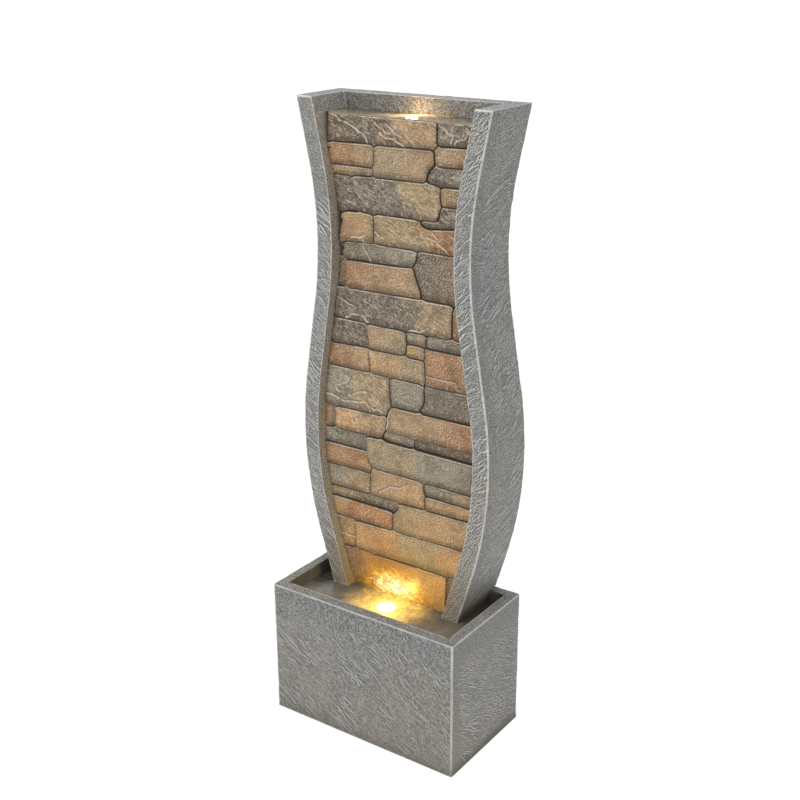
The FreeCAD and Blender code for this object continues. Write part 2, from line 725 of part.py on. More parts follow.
def make_pump_strainer():
    """Slotted intake cover that slides off the front of the pump."""
    half = motor_width / 2
    back_x = pump_x - strainer_gap
    front_x = back_x - strainer_length
    low = pump_low_z
    high = pump_low_z + motor_height
    cover = box(front_x, back_x, pump_y - half, pump_y + half, low, high)
    cover = cover.makeFillet(motor_round, edges_along(cover, V(1, 0, 0), lambda middle: True))
    hollow = box(front_x + strainer_wall, back_x + 1, pump_y - half + strainer_wall,
                 pump_y + half - strainer_wall, low + strainer_wall, high - strainer_wall)
    hollow = hollow.makeFillet(motor_round - strainer_wall,
                               edges_along(hollow, V(1, 0, 0), lambda middle: True))
    cover = cover.cut(hollow)
    collar = nozzle_radius + 2 * strainer_wall
    cover = cover.cut(box(nozzle_x - collar, back_x + 1, pump_y - collar, pump_y + collar,
                          high - 2 * strainer_wall, high + 1))
    slot_low = low + motor_round + strainer_wall
    slot_high = high - motor_round - strainer_wall
    pitch = (motor_width - 2 * motor_round) / strainer_slots_front
    for number in range(strainer_slots_front):
        y = pump_y + (number - (strainer_slots_front - 1) / 2) * pitch
        gap_low = pump_axis_z + dial_radius + 1 if abs(y - pump_y) < dial_radius + 1 else slot_low
        cover = cover.cut(box(front_x - 1, front_x + strainer_wall + 1, y - strainer_slot / 2,
                              y + strainer_slot / 2, gap_low, slot_high))
    pitch = (strainer_length - 2 * motor_round) / strainer_slots_side
    for number in range(strainer_slots_side):
        x = front_x + motor_round + (number + 0.5) * pitch
        for y in (pump_y - half, pump_y + half):
            cover = cover.cut(box(x - strainer_slot / 2, x + strainer_slot / 2, y - strainer_wall - 0.5,
                                  y + strainer_wall + 0.5, slot_low, slot_high))
    hole = along_x(dial_hole, front_x - 1, front_x + strainer_wall + 1, pump_y, pump_axis_z)
    save(cover.cut(hole), "pump_strainer")


def make_flow_dial():
    """Flow dial in the strainer's front, with a pointer and an inner shutter."""
    front_x = pump_x - strainer_gap - strainer_length
    knob = along_x(dial_radius, front_x - dial_gap - dial_thick, front_x - dial_gap, pump_y, pump_axis_z)
    knob = knob.makeChamfer(1.0, [knob.Edges[2]])
    pointer = box(front_x - dial_gap - dial_thick - 1.5, front_x - dial_gap - dial_thick + 1, pump_y - 1.2,
                  pump_y + 1.2, pump_axis_z - dial_radius + 1.5, pump_axis_z + dial_radius - 1.5)
    inner_x = front_x + strainer_wall + dial_gap
    stem = along_x(dial_stem, front_x - dial_gap - 1, inner_x + 1, pump_y, pump_axis_z)
    shutter = along_x(dial_shutter, inner_x, inner_x + 1.5, pump_y, pump_axis_z)
    shutter = shutter.cut(box(inner_x - 1, inner_x + 3, pump_y, pump_y + dial_shutter + 1,
                              pump_axis_z, pump_axis_z + dial_shutter + 1))
    save(knob.fuse([pointer, stem, shutter]), "flow_dial")


def make_suction_cups():
    """Four cups that hold the pump to the basin's floor."""
    cups = []
    inset = cup_radius + 1
    for x in (pump_x + inset, pump_x + motor_length - inset):
        for y in (pump_y - motor_width / 2 + inset, pump_y + motor_width / 2 - inset):
            skirt = Part.makeCone(cup_radius, cup_stem_radius, cup_height / 2, V(x, y, floor_z))
            stem = upright(cup_stem_radius, x, y, floor_z + cup_height / 2, floor_z + cup_height)
            cups.append(skirt.fuse(stem))
    save(Part.makeCompound(cups), "suction_cups")


def tube_path(points, radius):
    """Straight runs through the points, joined by tangent arcs."""
    edges = []
    start = points[0]
    for index in range(1, len(points) - 1):
        here = points[index]
        toward = (points[index - 1] - here).normalize()
        onward = (points[index + 1] - here).normalize()
        turn = math.pi - math.acos(max(-1.0, min(1.0, toward.dot(onward))))
        back = radius * math.tan(turn / 2)
        first = here + toward * back
        last = here + onward * back
        centre = here + (toward + onward).normalize() * (radius / math.cos(turn / 2))
        middle = centre + (here - centre).normalize() * radius
        edges.append(Part.LineSegment(start, first).toShape())
        edges.append(Part.Arc(first, middle, last).toShape())
        start = last
    edges.append(Part.LineSegment(start, points[-1]).toShape())
    return Part.Wire(edges)


def hose_ends():
    """Heights of the hose's lower and upper end."""
    low = pump_axis_z + chamber_radius + clamp_from_end
    high = tray_low_z - spigot_nut - hose_end_gap
    return low, high


def make_supply_hose():
    """Hose that carries the water from the pump up to the trough."""
    low, high = hose_ends()
    points = [V(nozzle_x, pump_y, low), V(nozzle_x, pump_y, hose_low_bend_z),
              V(spigot_x, tray_middle_y, hose_high_bend_z), V(spigot_x, tray_middle_y, high)]
    path = tube_path(points, hose_bend_radius)
    tubes = []
    for radius in (hose_radius, hose_bore):
        profile = Part.Wire(Part.makeCircle(radius, points[0], V(0, 0, 1)))
        tubes.append(path.makePipeShell([profile], True, False))
    hose = tubes[0].cut(tubes[1])
    section = math.pi * (hose_radius ** 2 - hose_bore ** 2)
    ratio = hose.Volume / section / path.Length
    print("hose length", round(path.Length, 1), "volume ratio", round(ratio, 4))
    save(hose, "supply_hose")


def make_hose_clamps():
    """Band clamps at both ends of the hose."""
    low, high = hose_ends()
    clamps = []
    high_clamp_z = high - clamp_from_end - clamp_width
    for x, y, z in ((nozzle_x, pump_y, low + clamp_from_end), (spigot_x, tray_middle_y, high_clamp_z)):
        band = upright(hose_radius + clamp_gap + clamp_thick, x, y, z, z + clamp_width)
        ear = box(x - clamp_thick * 2, x + clamp_thick * 2, y - hose_radius - clamp_ear, y, z + 1,
                  z + clamp_width - 1)
        slit = box(x - clamp_thick / 2, x + clamp_thick / 2, y - hose_radius - clamp_ear - 1, y, z - 1,
                   z + clamp_width + 1)
        hole = upright(hose_radius + clamp_gap, x, y, z - 1, z + clamp_width + 1)
        clamps.append(band.fuse(ear).cut(hole).cut(slit))
    save(Part.makeCompound(clamps), "hose_clamps")


def make_inlet_spigot():
    """Flanged spigot through the tray's floor, with a barb for the hose."""
    top = tray_low_z + tray_floor + spigot_washer
    nut_low = tray_low_z - spigot_nut
    flange = upright(spigot_flange_radius, spigot_x, tray_middle_y, top, top + spigot_flange)
    stem = upright(spigot_stem_radius, spigot_x, tray_middle_y, nut_low, top)
    barb = upright(spigot_barb_radius, spigot_x, tray_middle_y, nut_low - spigot_barb_length, nut_low)
    bore = upright(spigot_bore, spigot_x, tray_middle_y, nut_low - spigot_barb_length - 1,
                   top + spigot_flange + 1)
    save(flange.fuse([stem, barb]).cut(bore), "inlet_spigot")


def make_inlet_washer():
    """Rubber washer under the spigot's flange."""
    low = tray_low_z + tray_floor
    washer = upright(spigot_flange_radius, spigot_x, tray_middle_y, low, low + spigot_washer)
    hole = upright(spigot_stem_radius + spigot_stem_fit, spigot_x, tray_middle_y, low - 1,
                   low + spigot_washer + 1)
    save(washer.cut(hole), "inlet_washer")


def make_inlet_nut():
    """Six-sided nut under the tray."""
    corners = []
    for number in range(7):
        angle = math.radians(60 * number)
        corners.append(V(spigot_x + spigot_nut_radius * math.cos(angle),
                         tray_middle_y + spigot_nut_radius * math.sin(angle), tray_low_z - spigot_nut))
    nut = Part.Face(Part.makePolygon(corners)).extrude(V(0, 0, spigot_nut))
    hole = upright(spigot_stem_radius + shaft_fit, spigot_x, tray_middle_y, tray_low_z - spigot_nut - 1,
                   tray_low_z + 1)
    save(nut.cut(hole), "inlet_nut")


def make_lamp(name, x, y, low):
    """One submerged lamp: housing, board with chips, seal, lens and screwed bezel."""
    top = low + lamp_height
    housing = upright(lamp_body_radius, x, y, low, top)
    housing = housing.fuse(upright(lamp_radius - lamp_bezel_wall - lamp_fit, x, y, top - lamp_flange, top))
    well = upright(lamp_board_radius + lamp_fit, x, y, low + lamp_board_z, top + 1)
    cup = upright(lamp_board_radius - lamp_board_ledge, x, y, low + lamp_wall, top)
    save(housing.cut(well).cut(cup), name + "_housing")

    board = upright(lamp_board_radius, x, y, low + lamp_board_z, low + lamp_board_z + lamp_board_thick)
    chip_z = low + lamp_board_z + lamp_board_thick
    for number in range(lamp_chip_count):
        angle = 2 * math.pi * number / lamp_chip_count
        cx = x + lamp_chip_ring * math.cos(angle)
        cy = y + lamp_chip_ring * math.sin(angle)
        board = board.fuse(box(cx - lamp_chip / 2, cx + lamp_chip / 2, cy - lamp_chip / 2,
                               cy + lamp_chip / 2, chip_z - 0.5, chip_z + lamp_chip_height))
    save(board, name + "_board")

    seal = upright(lamp_lens_radius, x, y, top, top + lamp_seal_thick)
    save(seal.cut(upright(lamp_window, x, y, top - 1, top + lamp_seal_thick + 1)), name + "_seal")

    lens_low = top + lamp_seal_thick
    lens_top = lens_low + lamp_lens_thick
    save(upright(lamp_lens_radius, x, y, lens_low, lens_top), name + "_lens")

    bezel = upright(lamp_radius, x, y, top - lamp_flange, lens_top + lamp_bezel_top)
    bezel = bezel.cut(upright(lamp_radius - lamp_bezel_wall, x, y, top - lamp_flange - 1, lens_top))
    bezel = bezel.cut(upright(lamp_window, x, y, lens_top - 1, lens_top + lamp_bezel_top + 1))
    save(bezel, name + "_bezel")


def make_upper_lamp():
    """Lamp under the trough's water, on a suction cup."""
    floor = tray_low_z + tray_floor
    cup = Part.makeCone(upper_lamp_cup_radius, upper_lamp_cup_neck, upper_lamp_cup_height,
                        V(upper_lamp_x, tray_middle_y, floor))
    save(cup, "upper_lamp_cup")
    make_lamp("upper_lamp", upper_lamp_x, tray_middle_y, floor + upper_lamp_cup_height)


def bracket_screw_places():
    """Screws that hold the bracket's back plate to the panel, as (x, z)."""
    high = bracket_top_z - bracket_thick - bracket_screw_drop
    return [(0.0, high), (0.0, high - bracket_screw_pitch)]


def make_lower_lamp():
    """Lamp under the basin's water, on a bracket screwed to the panel's plain foot."""
    seat_z = bracket_top_z
    arm_low = seat_z - bracket_thick
    back = box(-bracket_half, bracket_half, lip_back_y - bracket_thick, lip_back_y,
               arm_low - bracket_drop, seat_z)
    arm = box(-bracket_half, bracket_half, lower_lamp_y, lip_back_y, arm_low, seat_z)
    disc = upright(lamp_radius, 0, lower_lamp_y, arm_low, seat_z)
    rib_face = Part.Face(Part.makePolygon([
        V(-bracket_thick / 2, lip_back_y - bracket_thick, arm_low),
        V(-bracket_thick / 2, lower_lamp_y, arm_low),
        V(-bracket_thick / 2, lip_back_y - bracket_thick, arm_low - bracket_screw_drop / 2),
        V(-bracket_thick / 2, lip_back_y - bracket_thick, arm_low)]))
    bracket = back.fuse([arm, disc, rib_face.extrude(V(bracket_thick, 0, 0))])
    screws = []
    for x, z in bracket_screw_places():
        bracket = bracket.cut(along_y(screw_radius + screw_fit, x, lip_back_y - bracket_thick - 1,
                                      lip_back_y + 1, z))
        head_y = lip_back_y - bracket_thick
        shank = along_y(screw_radius, x, head_y, head_y + screw_length, z)
        head = along_y(screw_head_radius, x, head_y - screw_head, head_y, z)
        screws.append(head.fuse(shank))
    save(bracket, "lower_lamp_bracket")
    save(Part.makeCompound(screws), "bracket_screws")
    make_lamp("lower_lamp", 0, lower_lamp_y, seat_z)


make_basin()
make_foot_pads()
make_wall_shell()
make_rear_rim()
make_rear_wall()
make_cascade_panel()
make_top_trough()
make_rear_door()
make_cable_grommet()
make_pump_body()
make_pump_rotor()
make_pump_shaft()
make_shaft_bushes()
make_chamber_cover()
make_pump_strainer()
make_flow_dial()
make_suction_cups()
make_supply_hose()
make_hose_clamps()
make_inlet_spigot()
make_inlet_washer()
make_inlet_nut()
make_upper_lamp()
make_lower_lamp()
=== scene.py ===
"""Looks of the garden cascade fountain: cast resin body, stacked stones, water and lamps."""
import bmesh
import bpy
import json
import math
from mathutils import Matrix, Vector, kdtree, noise


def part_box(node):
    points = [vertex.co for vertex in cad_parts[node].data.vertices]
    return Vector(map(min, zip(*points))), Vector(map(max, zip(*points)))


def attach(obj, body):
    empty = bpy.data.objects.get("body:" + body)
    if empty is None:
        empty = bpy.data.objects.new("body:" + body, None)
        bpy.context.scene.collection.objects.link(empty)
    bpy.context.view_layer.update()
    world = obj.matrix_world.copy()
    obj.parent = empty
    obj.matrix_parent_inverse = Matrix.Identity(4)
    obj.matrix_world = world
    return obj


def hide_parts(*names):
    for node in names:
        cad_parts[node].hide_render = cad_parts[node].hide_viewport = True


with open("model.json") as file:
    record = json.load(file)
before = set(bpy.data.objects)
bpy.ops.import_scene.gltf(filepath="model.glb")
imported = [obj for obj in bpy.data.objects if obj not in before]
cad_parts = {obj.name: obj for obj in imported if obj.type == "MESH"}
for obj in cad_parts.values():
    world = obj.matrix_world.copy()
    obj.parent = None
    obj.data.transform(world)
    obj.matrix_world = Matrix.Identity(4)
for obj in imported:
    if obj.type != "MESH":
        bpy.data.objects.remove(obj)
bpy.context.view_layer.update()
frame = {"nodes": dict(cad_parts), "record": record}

MM = 0.001
RIGHT = Vector((1, 0, 0))
BACK = Vector((0, 1, 0))
UP = Vector((0, 0, 1))

# Camera that the photograph was taken with
EYE = Vector((1.0516, -1.4715, 1.2187))
AZIMUTH = math.radians(35.27)
ELEVATION = math.radians(20.17)
ROLL = math.radians(-0.35)
LENS = 56.95
SENSOR = 36.0

# Boxes of the castings and lenses, from the frame, and the levels that follow from them
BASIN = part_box("basin")
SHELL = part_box("wall_shell")
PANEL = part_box("cascade_panel")
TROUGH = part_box("top_trough")
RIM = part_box("rear_rim")
LOWER_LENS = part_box("lower_lamp_lens")
UPPER_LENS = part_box("upper_lamp_lens")
RIM_Z = BASIN[1].z
BASIN_WALL = 19 * MM
LIP_BACK_Y = SHELL[0].y + 27 * MM
BED_Y = LIP_BACK_Y + 0.4 * MM
POOL_Z = RIM_Z - 21.5 * MM
TROUGH_WATER_Z = PANEL[1].z + 0.5 * MM
LOWER_LAMP = Vector((0, (LOWER_LENS[0].y + LOWER_LENS[1].y) / 2, POOL_Z))
UPPER_LAMP = Vector((0, (UPPER_LENS[0].y + UPPER_LENS[1].y) / 2, TROUGH_WATER_Z))
# Middle of the lit patch on the lowest stones, over the lower lamp
LOWER_GLOW = Vector((-10 * MM, SHELL[0].y + 8 * MM, POOL_Z + 17 * MM))

# Share of a normal along an axis above which a face counts as facing that way
FACING = 0.7
# Spacing of the points that stand for edges and outlines
POINT_SPACING = 1 * MM
# Strip under the top of the stone panel, where the stones keep their level upper edge
TOP_STRIP_Z = PANEL[1].z - 8 * MM

# Warm light of the lamps, and how far above the water it starts
LOWER_LIGHT = (1.0, 0.71, 0.14)
UPPER_LIGHT = (1.0, 0.66, 0.34)
LIGHT_HEIGHT = UP * 3 * MM


def paint(red, green, blue):
    """A paint given as it looks on a screen, 0 to 255, as the shader needs it."""
    return tuple((value / 255) ** 2.2 for value in (red, green, blue))


# Paints of the stones
PAINTS = {
    "umber": paint(97, 79, 66),
    "slate": paint(106, 95, 84),
    "ash": paint(146, 136, 120),
    "khaki": paint(166, 141, 103),
    "tan": paint(182, 144, 101),
    "rust": paint(176, 119, 69),
    "peach": paint(200, 154, 102),
    "gold": paint(194, 150, 84),
    "brown": paint(118, 94, 72),
}

# Cracks across the stones, each as places (x, z) in millimetres from its upper end
CRACKS = [
    [(-117, 974), (-108, 971), (-100, 965), (-90, 965), (-79, 960), (-70, 955), (-56, 947), (-49, 938)],
    [(-38, 968), (-33, 964), (-20, 955), (-11, 953)],
    [(-29, 953), (-18, 947), (-6, 946), (3, 942), (14, 938)],
    [(-18, 966), (-6, 958), (-1, 953), (10, 950)],
    [(74, 971), (83, 965), (95, 955), (92, 948)],
    [(117, 971), (121, 965), (114, 955), (102, 952), (98, 948)],
    [(-83, 796), (-69, 796), (-57, 801)],
    [(-62, 795), (-53, 793), (-43, 795)],
    [(-39, 809), (-32, 804), (-24, 800)],
    [(53, 811), (67, 807), (76, 800), (90, 792)],
    [(61, 819), (67, 813), (72, 810)],
    [(-62, 781), (-55, 772), (-49, 762)],
    [(-110, 698), (-96, 691), (-81, 687)],
    [(-98, 668), (-86, 674), (-69, 675), (-55, 669)],
    [(11, 663), (24, 668), (40, 667), (56, 675)],
    [(-136, 535), (-122, 534), (-105, 528), (-88, 531), (-63, 533), (-47, 527), (-32, 527)],
    [(-91, 570), (-97, 561), (-122, 550), (-114, 542)],
    [(-88, 542), (-71, 551), (-58, 552)],
    [(54, 599), (76, 598), (105, 599)],
    [(-9, 528), (-14, 514), (-19, 498)],
    [(-38, 387), (-18, 401), (1, 404), (20, 414)],
    [(-119, 295), (-89, 294)],
]

# Amounts that each point of a stone carries for its paint, among them dark wash with painted shade and pale
# brush with painted highlight
STONE_MARKS = ("joint", "crest", "hollow", "wet", "cleft")

# Stones that meet without a joint, by their places in the list of stones
UNITED = ({0, 1}, {11, 14}, {50, 51}, {51, 52}, {48, 49})

# Stones from the top left to the bottom right: middle (x, z) in millimetres, the paint on the
# left, the paint on the right, where along its width the second starts, and how it was split.
STONES = [
    (-105, 955, "umber", "umber", 0.5, "cleft"), (-10, 956, "umber", "tan", 0.55, "cleft"),
    (103, 960, "slate", "umber", 0.5, "cleft"), (-81, 918, "rust", "tan", 0.6, "rough"),
    (-80, 894, "tan", "khaki", 0.5, "rough"), (10, 911, "khaki", "tan", 0.6, "rough"),
    (101, 927, "tan", "rust", 0.6, "rough"), (91, 900, "slate", "ash", 0.7, "cleft"),
    (-93, 862, "umber", "slate", 0.4, "cleft"), (-5, 861, "slate", "khaki", 0.66, "cleft"),
    (98, 870, "tan", "khaki", 0.5, "rough"), (94, 843, "umber", "slate", 0.4, "cleft"),
    (-70, 809, "peach", "tan", 0.7, "rough"), (35, 811, "khaki", "rust", 0.52, "cleft"),
    (80, 829, "umber", "slate", 0.5, "rough"), (-33, 773, "slate", "ash", 0.5, "rough"),
    (77, 751, "umber", "brown", 0.5, "rough"), (-105, 738, "brown", "brown", 0.5, "rough"),
    (-30, 738, "rust", "tan", 0.45, "rough"), (-12, 688, "slate", "khaki", 0.72, "cleft"),
    (110, 686, "rust", "rust", 0.5, "smooth"), (-90, 643, "slate", "umber", 0.6, "cleft"),
    (-20, 643, "tan", "khaki", 0.5, "rough"), (33, 653, "ash", "khaki", 0.5, "rough"),
    (88, 652, "ash", "slate", 0.4, "rough"), (32, 632, "gold", "tan", 0.5, "smooth"),
    (92, 612, "rust", "tan", 0.72, "rough"), (-93, 604, "rust", "peach", 0.65, "rough"),
    (-3, 603, "peach", "khaki", 0.55, "rough"), (-78, 551, "ash", "khaki", 0.55, "cleft"),
    (15, 562, "ash", "ash", 0.5, "rough"), (93, 557, "slate", "umber", 0.6, "rough"),
    (62, 515, "tan", "rust", 0.66, "smooth"), (-77, 497, "peach", "tan", 0.5, "cleft"),
    (-135, 497, "rust", "brown", 0.5, "smooth"), (0, 484, "khaki", "ash", 0.6, "smooth"),
    (88, 483, "umber", "brown", 0.5, "smooth"), (-103, 465, "ash", "slate", 0.4, "smooth"),
    (45, 450, "khaki", "ash", 0.5, "rough"), (-100, 434, "rust", "rust", 0.5, "rough"),
    (-99, 395, "ash", "khaki", 0.5, "smooth"), (-3, 401, "tan", "peach", 0.5, "rough"),
    (95, 411, "ash", "tan", 0.6, "rough"), (95, 390, "tan", "peach", 0.6, "smooth"),
    (-70, 368, "khaki", "slate", 0.55, "rough"), (-73, 342, "tan", "rust", 0.3, "rough"),
    (63, 351, "khaki", "tan", 0.35, "smooth"), (-104, 300, "khaki", "tan", 0.5, "smooth"),
    (-23, 300, "tan", "ash", 0.6, "rough"), (79, 300, "ash", "tan", 0.4, "rough"),
    (-78, 245, "brown", "gold", 0.6, "rough"), (19, 244, "gold", "gold", 0.5, "rough"),
    (97, 244, "brown", "umber", 0.5, "rough"), (-56, 199, "umber", "brown", 0.5, "rough"),
    (40, 199, "gold", "brown", 0.5, "rough"),
]


def focus(piece):
    """Makes a piece the only selected and active one."""
    bpy.ops.object.select_all(action="DESELECT")
    piece.select_set(True)
    bpy.context.view_layer.objects.active = piece


def add_object(name, data):
    """Puts a new object with some data into the scene."""
    thing = bpy.data.objects.new(name, data)
    bpy.context.scene.collection.objects.link(thing)
    return thing


def edit(piece):
    """Opens a piece in edit mode with all its faces selected."""
    focus(piece)
    bpy.ops.object.mode_set(mode="EDIT")
    bpy.ops.mesh.select_mode(type="FACE")
    bpy.ops.mesh.select_all(action="SELECT")


def leave_edit():
    """Shows all faces again and goes back to object mode."""
    bpy.ops.mesh.reveal(select=False)
    bpy.ops.object.mode_set(mode="OBJECT")


def copy_of(name, *nodes):
    """A new piece from the meshes of CAD nodes, with their triangles joined into whole faces."""
    bpy.ops.object.select_all(action="DESELECT")
    for node in nodes:
        piece = add_object(name, frame["nodes"][node].data.copy())
        piece.data.materials.clear()
        piece.select_set(True)
        bpy.context.view_layer.objects.active = piece
    if len(nodes) > 1:
        bpy.ops.object.join()
    piece = bpy.context.view_layer.objects.active
    bpy.ops.mesh.customdata_custom_splitnormals_clear()
    edit(piece)
    bpy.ops.mesh.remove_doubles(threshold=0.005 * MM)
    bpy.ops.mesh.dissolve_limited(angle_limit=math.radians(0.6))
    leave_edit()
    return piece


def finish_with(piece, name, kind, **settings):
    """Adds a modifier and applies it."""
    focus(piece)
    modifier = piece.modifiers.new(name, kind)
    for key, value in settings.items():
        setattr(modifier, key, value)
    bpy.ops.object.modifier_apply(modifier=name)


def choose_faces(piece, wanted):
    """Selects the faces that a test picks out."""
    bpy.ops.mesh.select_all(action="DESELECT")
    mesh = bmesh.from_edit_mesh(piece.data)
    for face in mesh.faces:
        face.select_set(wanted(face))
    bmesh.update_edit_mesh(piece.data)


def cut_rows(piece, axis, pitch):
    """Cuts the shown faces into rows of a given pitch along an axis."""
    mesh = bmesh.from_edit_mesh(piece.data)
    places = [vert.co.dot(axis) for face in mesh.faces if not face.hide for vert in face.verts]
    low = min(places)
    high = max(places)
    steps = max(1, round((high - low) / pitch))
    for step in range(1, steps):
        bpy.ops.mesh.select_all(action="SELECT")
        place = low + (high - low) * step / steps
        bpy.ops.mesh.bisect(plane_co=axis * place, plane_no=axis)


def lay_grid(piece, pitch, plain=None):
    """Cuts a piece into an even grid, apart from its plain faces, and halves that grid twice."""
    edit(piece)
    if plain:
        choose_faces(piece, plain)
        bpy.ops.mesh.hide(unselected=False)
    for axis in (UP, RIGHT, BACK):
        cut_rows(piece, axis, pitch)
    bpy.ops.mesh.reveal(select=False)
    bpy.ops.mesh.select_all(action="DESELECT")
    bpy.ops.mesh.select_face_by_sides(number=4, type="GREATER")
    bpy.ops.mesh.quads_convert_to_tris(quad_method="BEAUTY", ngon_method="BEAUTY")
    leave_edit()
    finish_with(piece, "finer_grid", "SUBSURF", subdivision_type="SIMPLE", levels=2, render_levels=2)


def arris_tree(piece):
    """Points along the arrises of a piece, to tell how near one is."""
    mesh = bmesh.new()
    mesh.from_mesh(piece.data)
    mesh.normal_update()
    points = []
    for edge in mesh.edges:
        if not is_arris(edge):
            continue
        start = edge.verts[0].co
        run = edge.verts[1].co - start
        count = max(1, int(run.length / POINT_SPACING))
        points += [start + run * (index / count) for index in range(count + 1)]
    mesh.free()
    return tree_of(points, range(len(points)))


def tree_of(points, chosen):
    """A search tree of the points whose numbers are chosen."""
    tree = kdtree.KDTree(len(chosen))
    for index in chosen:
        tree.insert(points[index], index)
    tree.balance()
    return tree


def is_arris(edge):
    """An outer edge that catches the brush, or an edge of the narrow strips that round one off."""
    if len(edge.link_faces) != 2 or not edge.is_convex:
        return False
    width = min(face.calc_area() for face in edge.link_faces) / max(edge.calc_length(), 0.01 * MM)
    return edge.calc_face_angle(0.0) > math.radians(2 if width < 0.8 * MM else 28)


def write_attribute(piece, name, values):
    """Stores one number per vertex."""
    attribute = piece.data.attributes.new(name, "FLOAT", "POINT")
    attribute.data.foreach_set("value", values)


def write_tints(piece, tints):
    """Stores one colour per vertex."""
    attribute = piece.data.attributes.new("tint", "FLOAT_COLOR", "POINT")
    attribute.data.foreach_set("color", [value for tint in tints for value in (*tint, 1.0)])


def smooth_step(value, low, high):
    """0 at low, 1 at high, and a smooth change between them."""
    share = min(1.0, max(0.0, (value - low) / (high - low)))
    return share * share * (3 - 2 * share)


def laid_flat(place, normal, stroke_angle):
    """A place on a wall as metres along and across the chisel strokes of that wall."""
    if abs(normal.z) > FACING:
        across, up = place.x, place.y
    elif abs(normal.x) > abs(normal.y):
        across, up = place.y * math.copysign(1, normal.x), place.z
    else:
        across, up = place.x * -math.copysign(1, normal.y), place.z
    angle = stroke_angle(place, normal)
    wave = 6 * MM * noise.noise(place * 14) + 1.5 * MM * noise.noise(place * 55)
    return (across * math.cos(angle) + up * math.sin(angle),
            up * math.cos(angle) - across * math.sin(angle) + wave)


def write_stroke_map(piece, stroke_angle):
    """Lays each face out flat with its strokes along the map's first direction."""
    mesh = piece.data
    layer = mesh.uv_layers.new(name="strokes")
    for polygon in mesh.polygons:
        for loop in polygon.loop_indices:
            place = mesh.vertices[mesh.loops[loop].vertex_index].co
            layer.data[loop].uv = laid_flat(place, polygon.normal, stroke_angle)


def soften(piece, angle):
    """Shades a piece smooth, apart from edges sharper than an angle in degrees."""
    focus(piece)
    bpy.ops.object.shade_smooth_by_angle(angle=math.radians(angle))


def settle(piece, body, slot, finish, *nodes):
    """Gives a finished piece its material and its body, and hides the CAD nodes that it stands for."""
    piece.data.materials.clear()
    piece.data.materials.append(finish)
    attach(piece, body)
    if nodes:
        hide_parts(*nodes)


class Signal:
    """A number that varies over a surface. Sums and products add the nodes they need."""

    def __init__(self, finish, socket):
        self.finish = finish
        self.socket = socket

    def combine(self, operation, first, second):
        return self.finish.node("ShaderNodeMath", {"operation": operation}, {0: first, 1: second})

    def __add__(self, other):
        return self.combine("ADD", self, other)

    def __sub__(self, other):
        return self.combine("SUBTRACT", self, other)

    def __rsub__(self, other):
        return self.combine("SUBTRACT", other, self)

    def __mul__(self, other):
        return self.combine("MULTIPLY", self, other)

    __radd__ = __add__
    __rmul__ = __mul__

    def between(self, low, high):
        """0 below low, 1 above high, and a smooth rise from one to the other."""
        inputs = {"Value": self, "From Min": low, "From Max": high}
        return self.finish.node("ShaderNodeMapRange", {"interpolation_type": "SMOOTHSTEP"}, inputs)

    def line(self, level, width):
        """1 where the number passes through a level, and 0 further off than a width."""
        return 1 - self.combine("ABSOLUTE", self - level, 0.0).between(0.0, width)


# Sockets of the colour mix node, whose names aren't unique
MIX_SHARE = 0
MIX_FIRST = 6
MIX_SECOND = 7
MIX_RESULT = 2


class Graph:
    """A node tree, with one method that adds any node."""

    def __init__(self, tree):
        self.tree = tree

    def node(self, kind, settings, inputs, output=0):
        node = self.tree.nodes.new(kind)
        for key, value in settings.items():
            setattr(node, key, value)
        for key, value in inputs.items():
            self.feed(node.inputs[key], value)
        return Signal(self, node.outputs[output])

    def feed(self, socket, value):
        """Links a signal to a socket, or sets the socket to a constant."""
        if isinstance(value, Signal):
            self.tree.links.new(value.socket, socket)
        elif isinstance(value, tuple) and len(value) == 3 and socket.type == "RGBA":
            socket.default_value = (*value, 1.0)
        else:
            socket.default_value = value

    def seen_directly(self):
        """1 for rays from the camera and for those that gloss or glass sends on."""
        rays = [self.node("ShaderNodeLightPath", {}, {}, name) for name in
                ("Is Camera Ray", "Is Glossy Ray", "Is Transmission Ray")]
        return rays[0] + rays[1] + rays[2]


